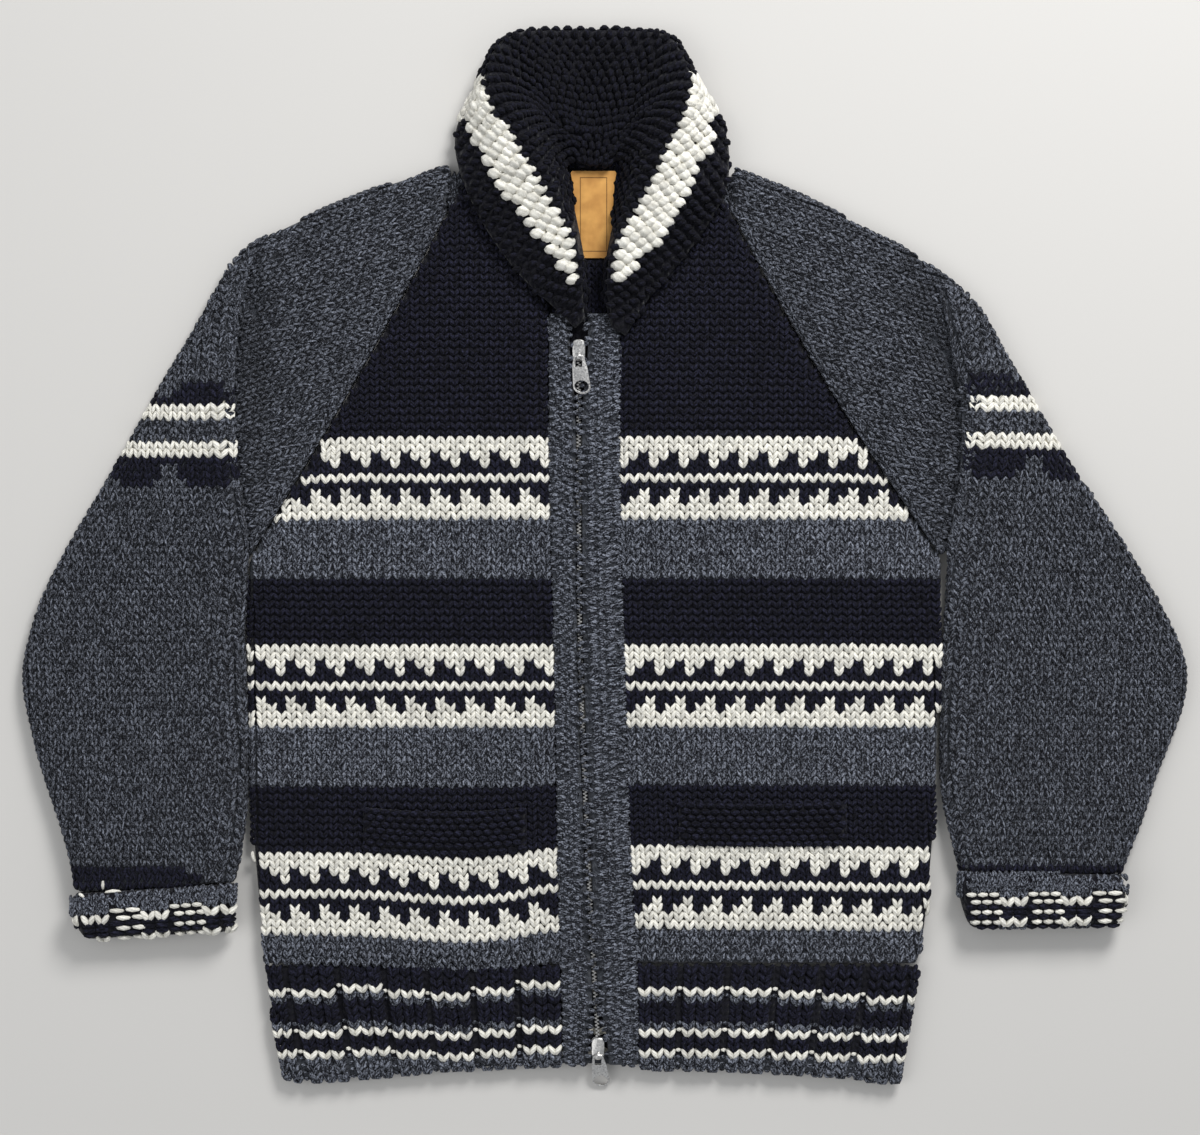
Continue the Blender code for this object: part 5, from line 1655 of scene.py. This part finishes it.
SHARP = math.radians(35.0)
METAL = make_metal()
METAL_PARTS = (
    ("zip_slider_bottom", "garment"), ("zip_slider_top", "garment"),
    ("pull_tab_bottom", "bottom_pull"), ("pull_tab_top", "top_pull"),
)
for node, body in METAL_PARTS:
    copy = copy_of(node, node + "_metal", METAL, body)
    bevel = copy.modifiers.new("Soft edge", "BEVEL")
    bevel.width = 0.25 * MM
    bevel.segments = 2
    bevel.limit_method = "ANGLE"
    bevel.angle_limit = SHARP
    bpy.ops.object.modifier_apply(modifier=bevel.name)
    bpy.ops.object.shade_smooth_by_angle(angle=SHARP)
    print(copy.name + ", mm:", [round(v / MM, 1) for v in copy.dimensions])

# %% [markdown]
# A tooth is modelled once, as a cube with rounded edges, and its points are then set down in two
# rows that mesh like a real chain's. They follow the bend of the zip and are joined in one mesh.

# %% Teeth
TOOTH_PITCH = 2.9
TOOTH_SIZE = (2.6, 1.7, 2.6)
TOOTH_LEVEL = 8.8
CHAIN_FOOT_Y = -381.5
CHAIN_HEAD_Y = 158.0
bpy.ops.object.select_all(action="DESELECT")
bpy.ops.mesh.primitive_cube_add(size=1.0, location=(0.0, 0.0, 0.0))
tooth = bpy.context.active_object
tooth.scale = [size * MM for size in TOOTH_SIZE]
bpy.ops.object.transform_apply(location=False, rotation=False, scale=True)
bevel = tooth.modifiers.new("Round", "BEVEL")
bevel.width = 0.45 * MM
bevel.segments = 1
bpy.ops.object.modifier_apply(modifier=bevel.name)
tooth_points = [v.co.copy() for v in tooth.data.vertices]
tooth_faces = [tuple(p.vertices) for p in tooth.data.polygons]
bpy.data.objects.remove(tooth, do_unlink=True)
points = []
faces = []
y = CHAIN_FOOT_Y
index = 0
while y < CHAIN_HEAD_Y:
    way = 1 if index % 2 else -1
    place = at_mm(read(ZIP_LINE, y) + way * 0.75, y, TOOTH_LEVEL)
    base = len(points)
    points += [tuple(p + place) for p in tooth_points]
    faces += [tuple(base + v for v in face) for face in tooth_faces]
    y += TOOTH_PITCH / 2
    index += 1
teeth_mesh = bpy.data.meshes.new("zip_teeth")
teeth_mesh.from_pydata(points, [], faces)
teeth_mesh.materials.append(METAL)
teeth = bpy.data.objects.new("zip_teeth", teeth_mesh)
bpy.context.scene.collection.objects.link(teeth)
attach(teeth, "garment")
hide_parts("zip_chain")
print("teeth:", index)

# %% [markdown]
# Every piece of cloth is a sheet. Its flat size, in metres, is what its maker would knit: all
# round for the sleeves and cuffs, which are tubes. The area in square metres is stated too,
# because most of the cuts aren't rectangles.

# %% Sheets
Sheet = namedtuple("Sheet", "node width length area rests_on")
SHEETS = (
    Sheet("back", 0.556, 0.642, 0.296, "floor"),
    Sheet("front_left", 0.258, 0.642, 0.127, "back"),
    Sheet("front_right", 0.249, 0.642, 0.125, "back"),
    Sheet("sleeve_left", 0.380, 0.600, 0.175, "floor"),
    Sheet("sleeve_right", 0.380, 0.600, 0.175, "floor"),
    Sheet("zip_band_left", 0.047, 0.602, 0.0218, "back"),
    Sheet("zip_band_right", 0.037, 0.602, 0.0159, "back"),
    Sheet("hem_back", 0.523, 0.093, 0.0457, "floor"),
    Sheet("hem_front_left", 0.225, 0.094, 0.0200, "hem_back"),
    Sheet("hem_front_right", 0.238, 0.093, 0.0211, "hem_back"),
    Sheet("cuff_left", 0.280, 0.052, 0.0139, "floor"),
    Sheet("cuff_right", 0.270, 0.048, 0.0121, "floor"),
    Sheet("collar", 0.660, 0.100, 0.056, "back"),
    Sheet("pocket_welt_left", 0.136, 0.038, 0.0050, "front_left"),
    Sheet("pocket_welt_right", 0.132, 0.038, 0.0048, "front_right"),
)
for sheet in SHEETS:
    extras.get(sheet.node, [])
print("sheets:", len(SHEETS) + 1)

# %% [markdown]
# Last, the script prints how many triangles the stitches have.

# %% Triangles of the stitches
print("triangles of stitches:", sum(triangles.values()))
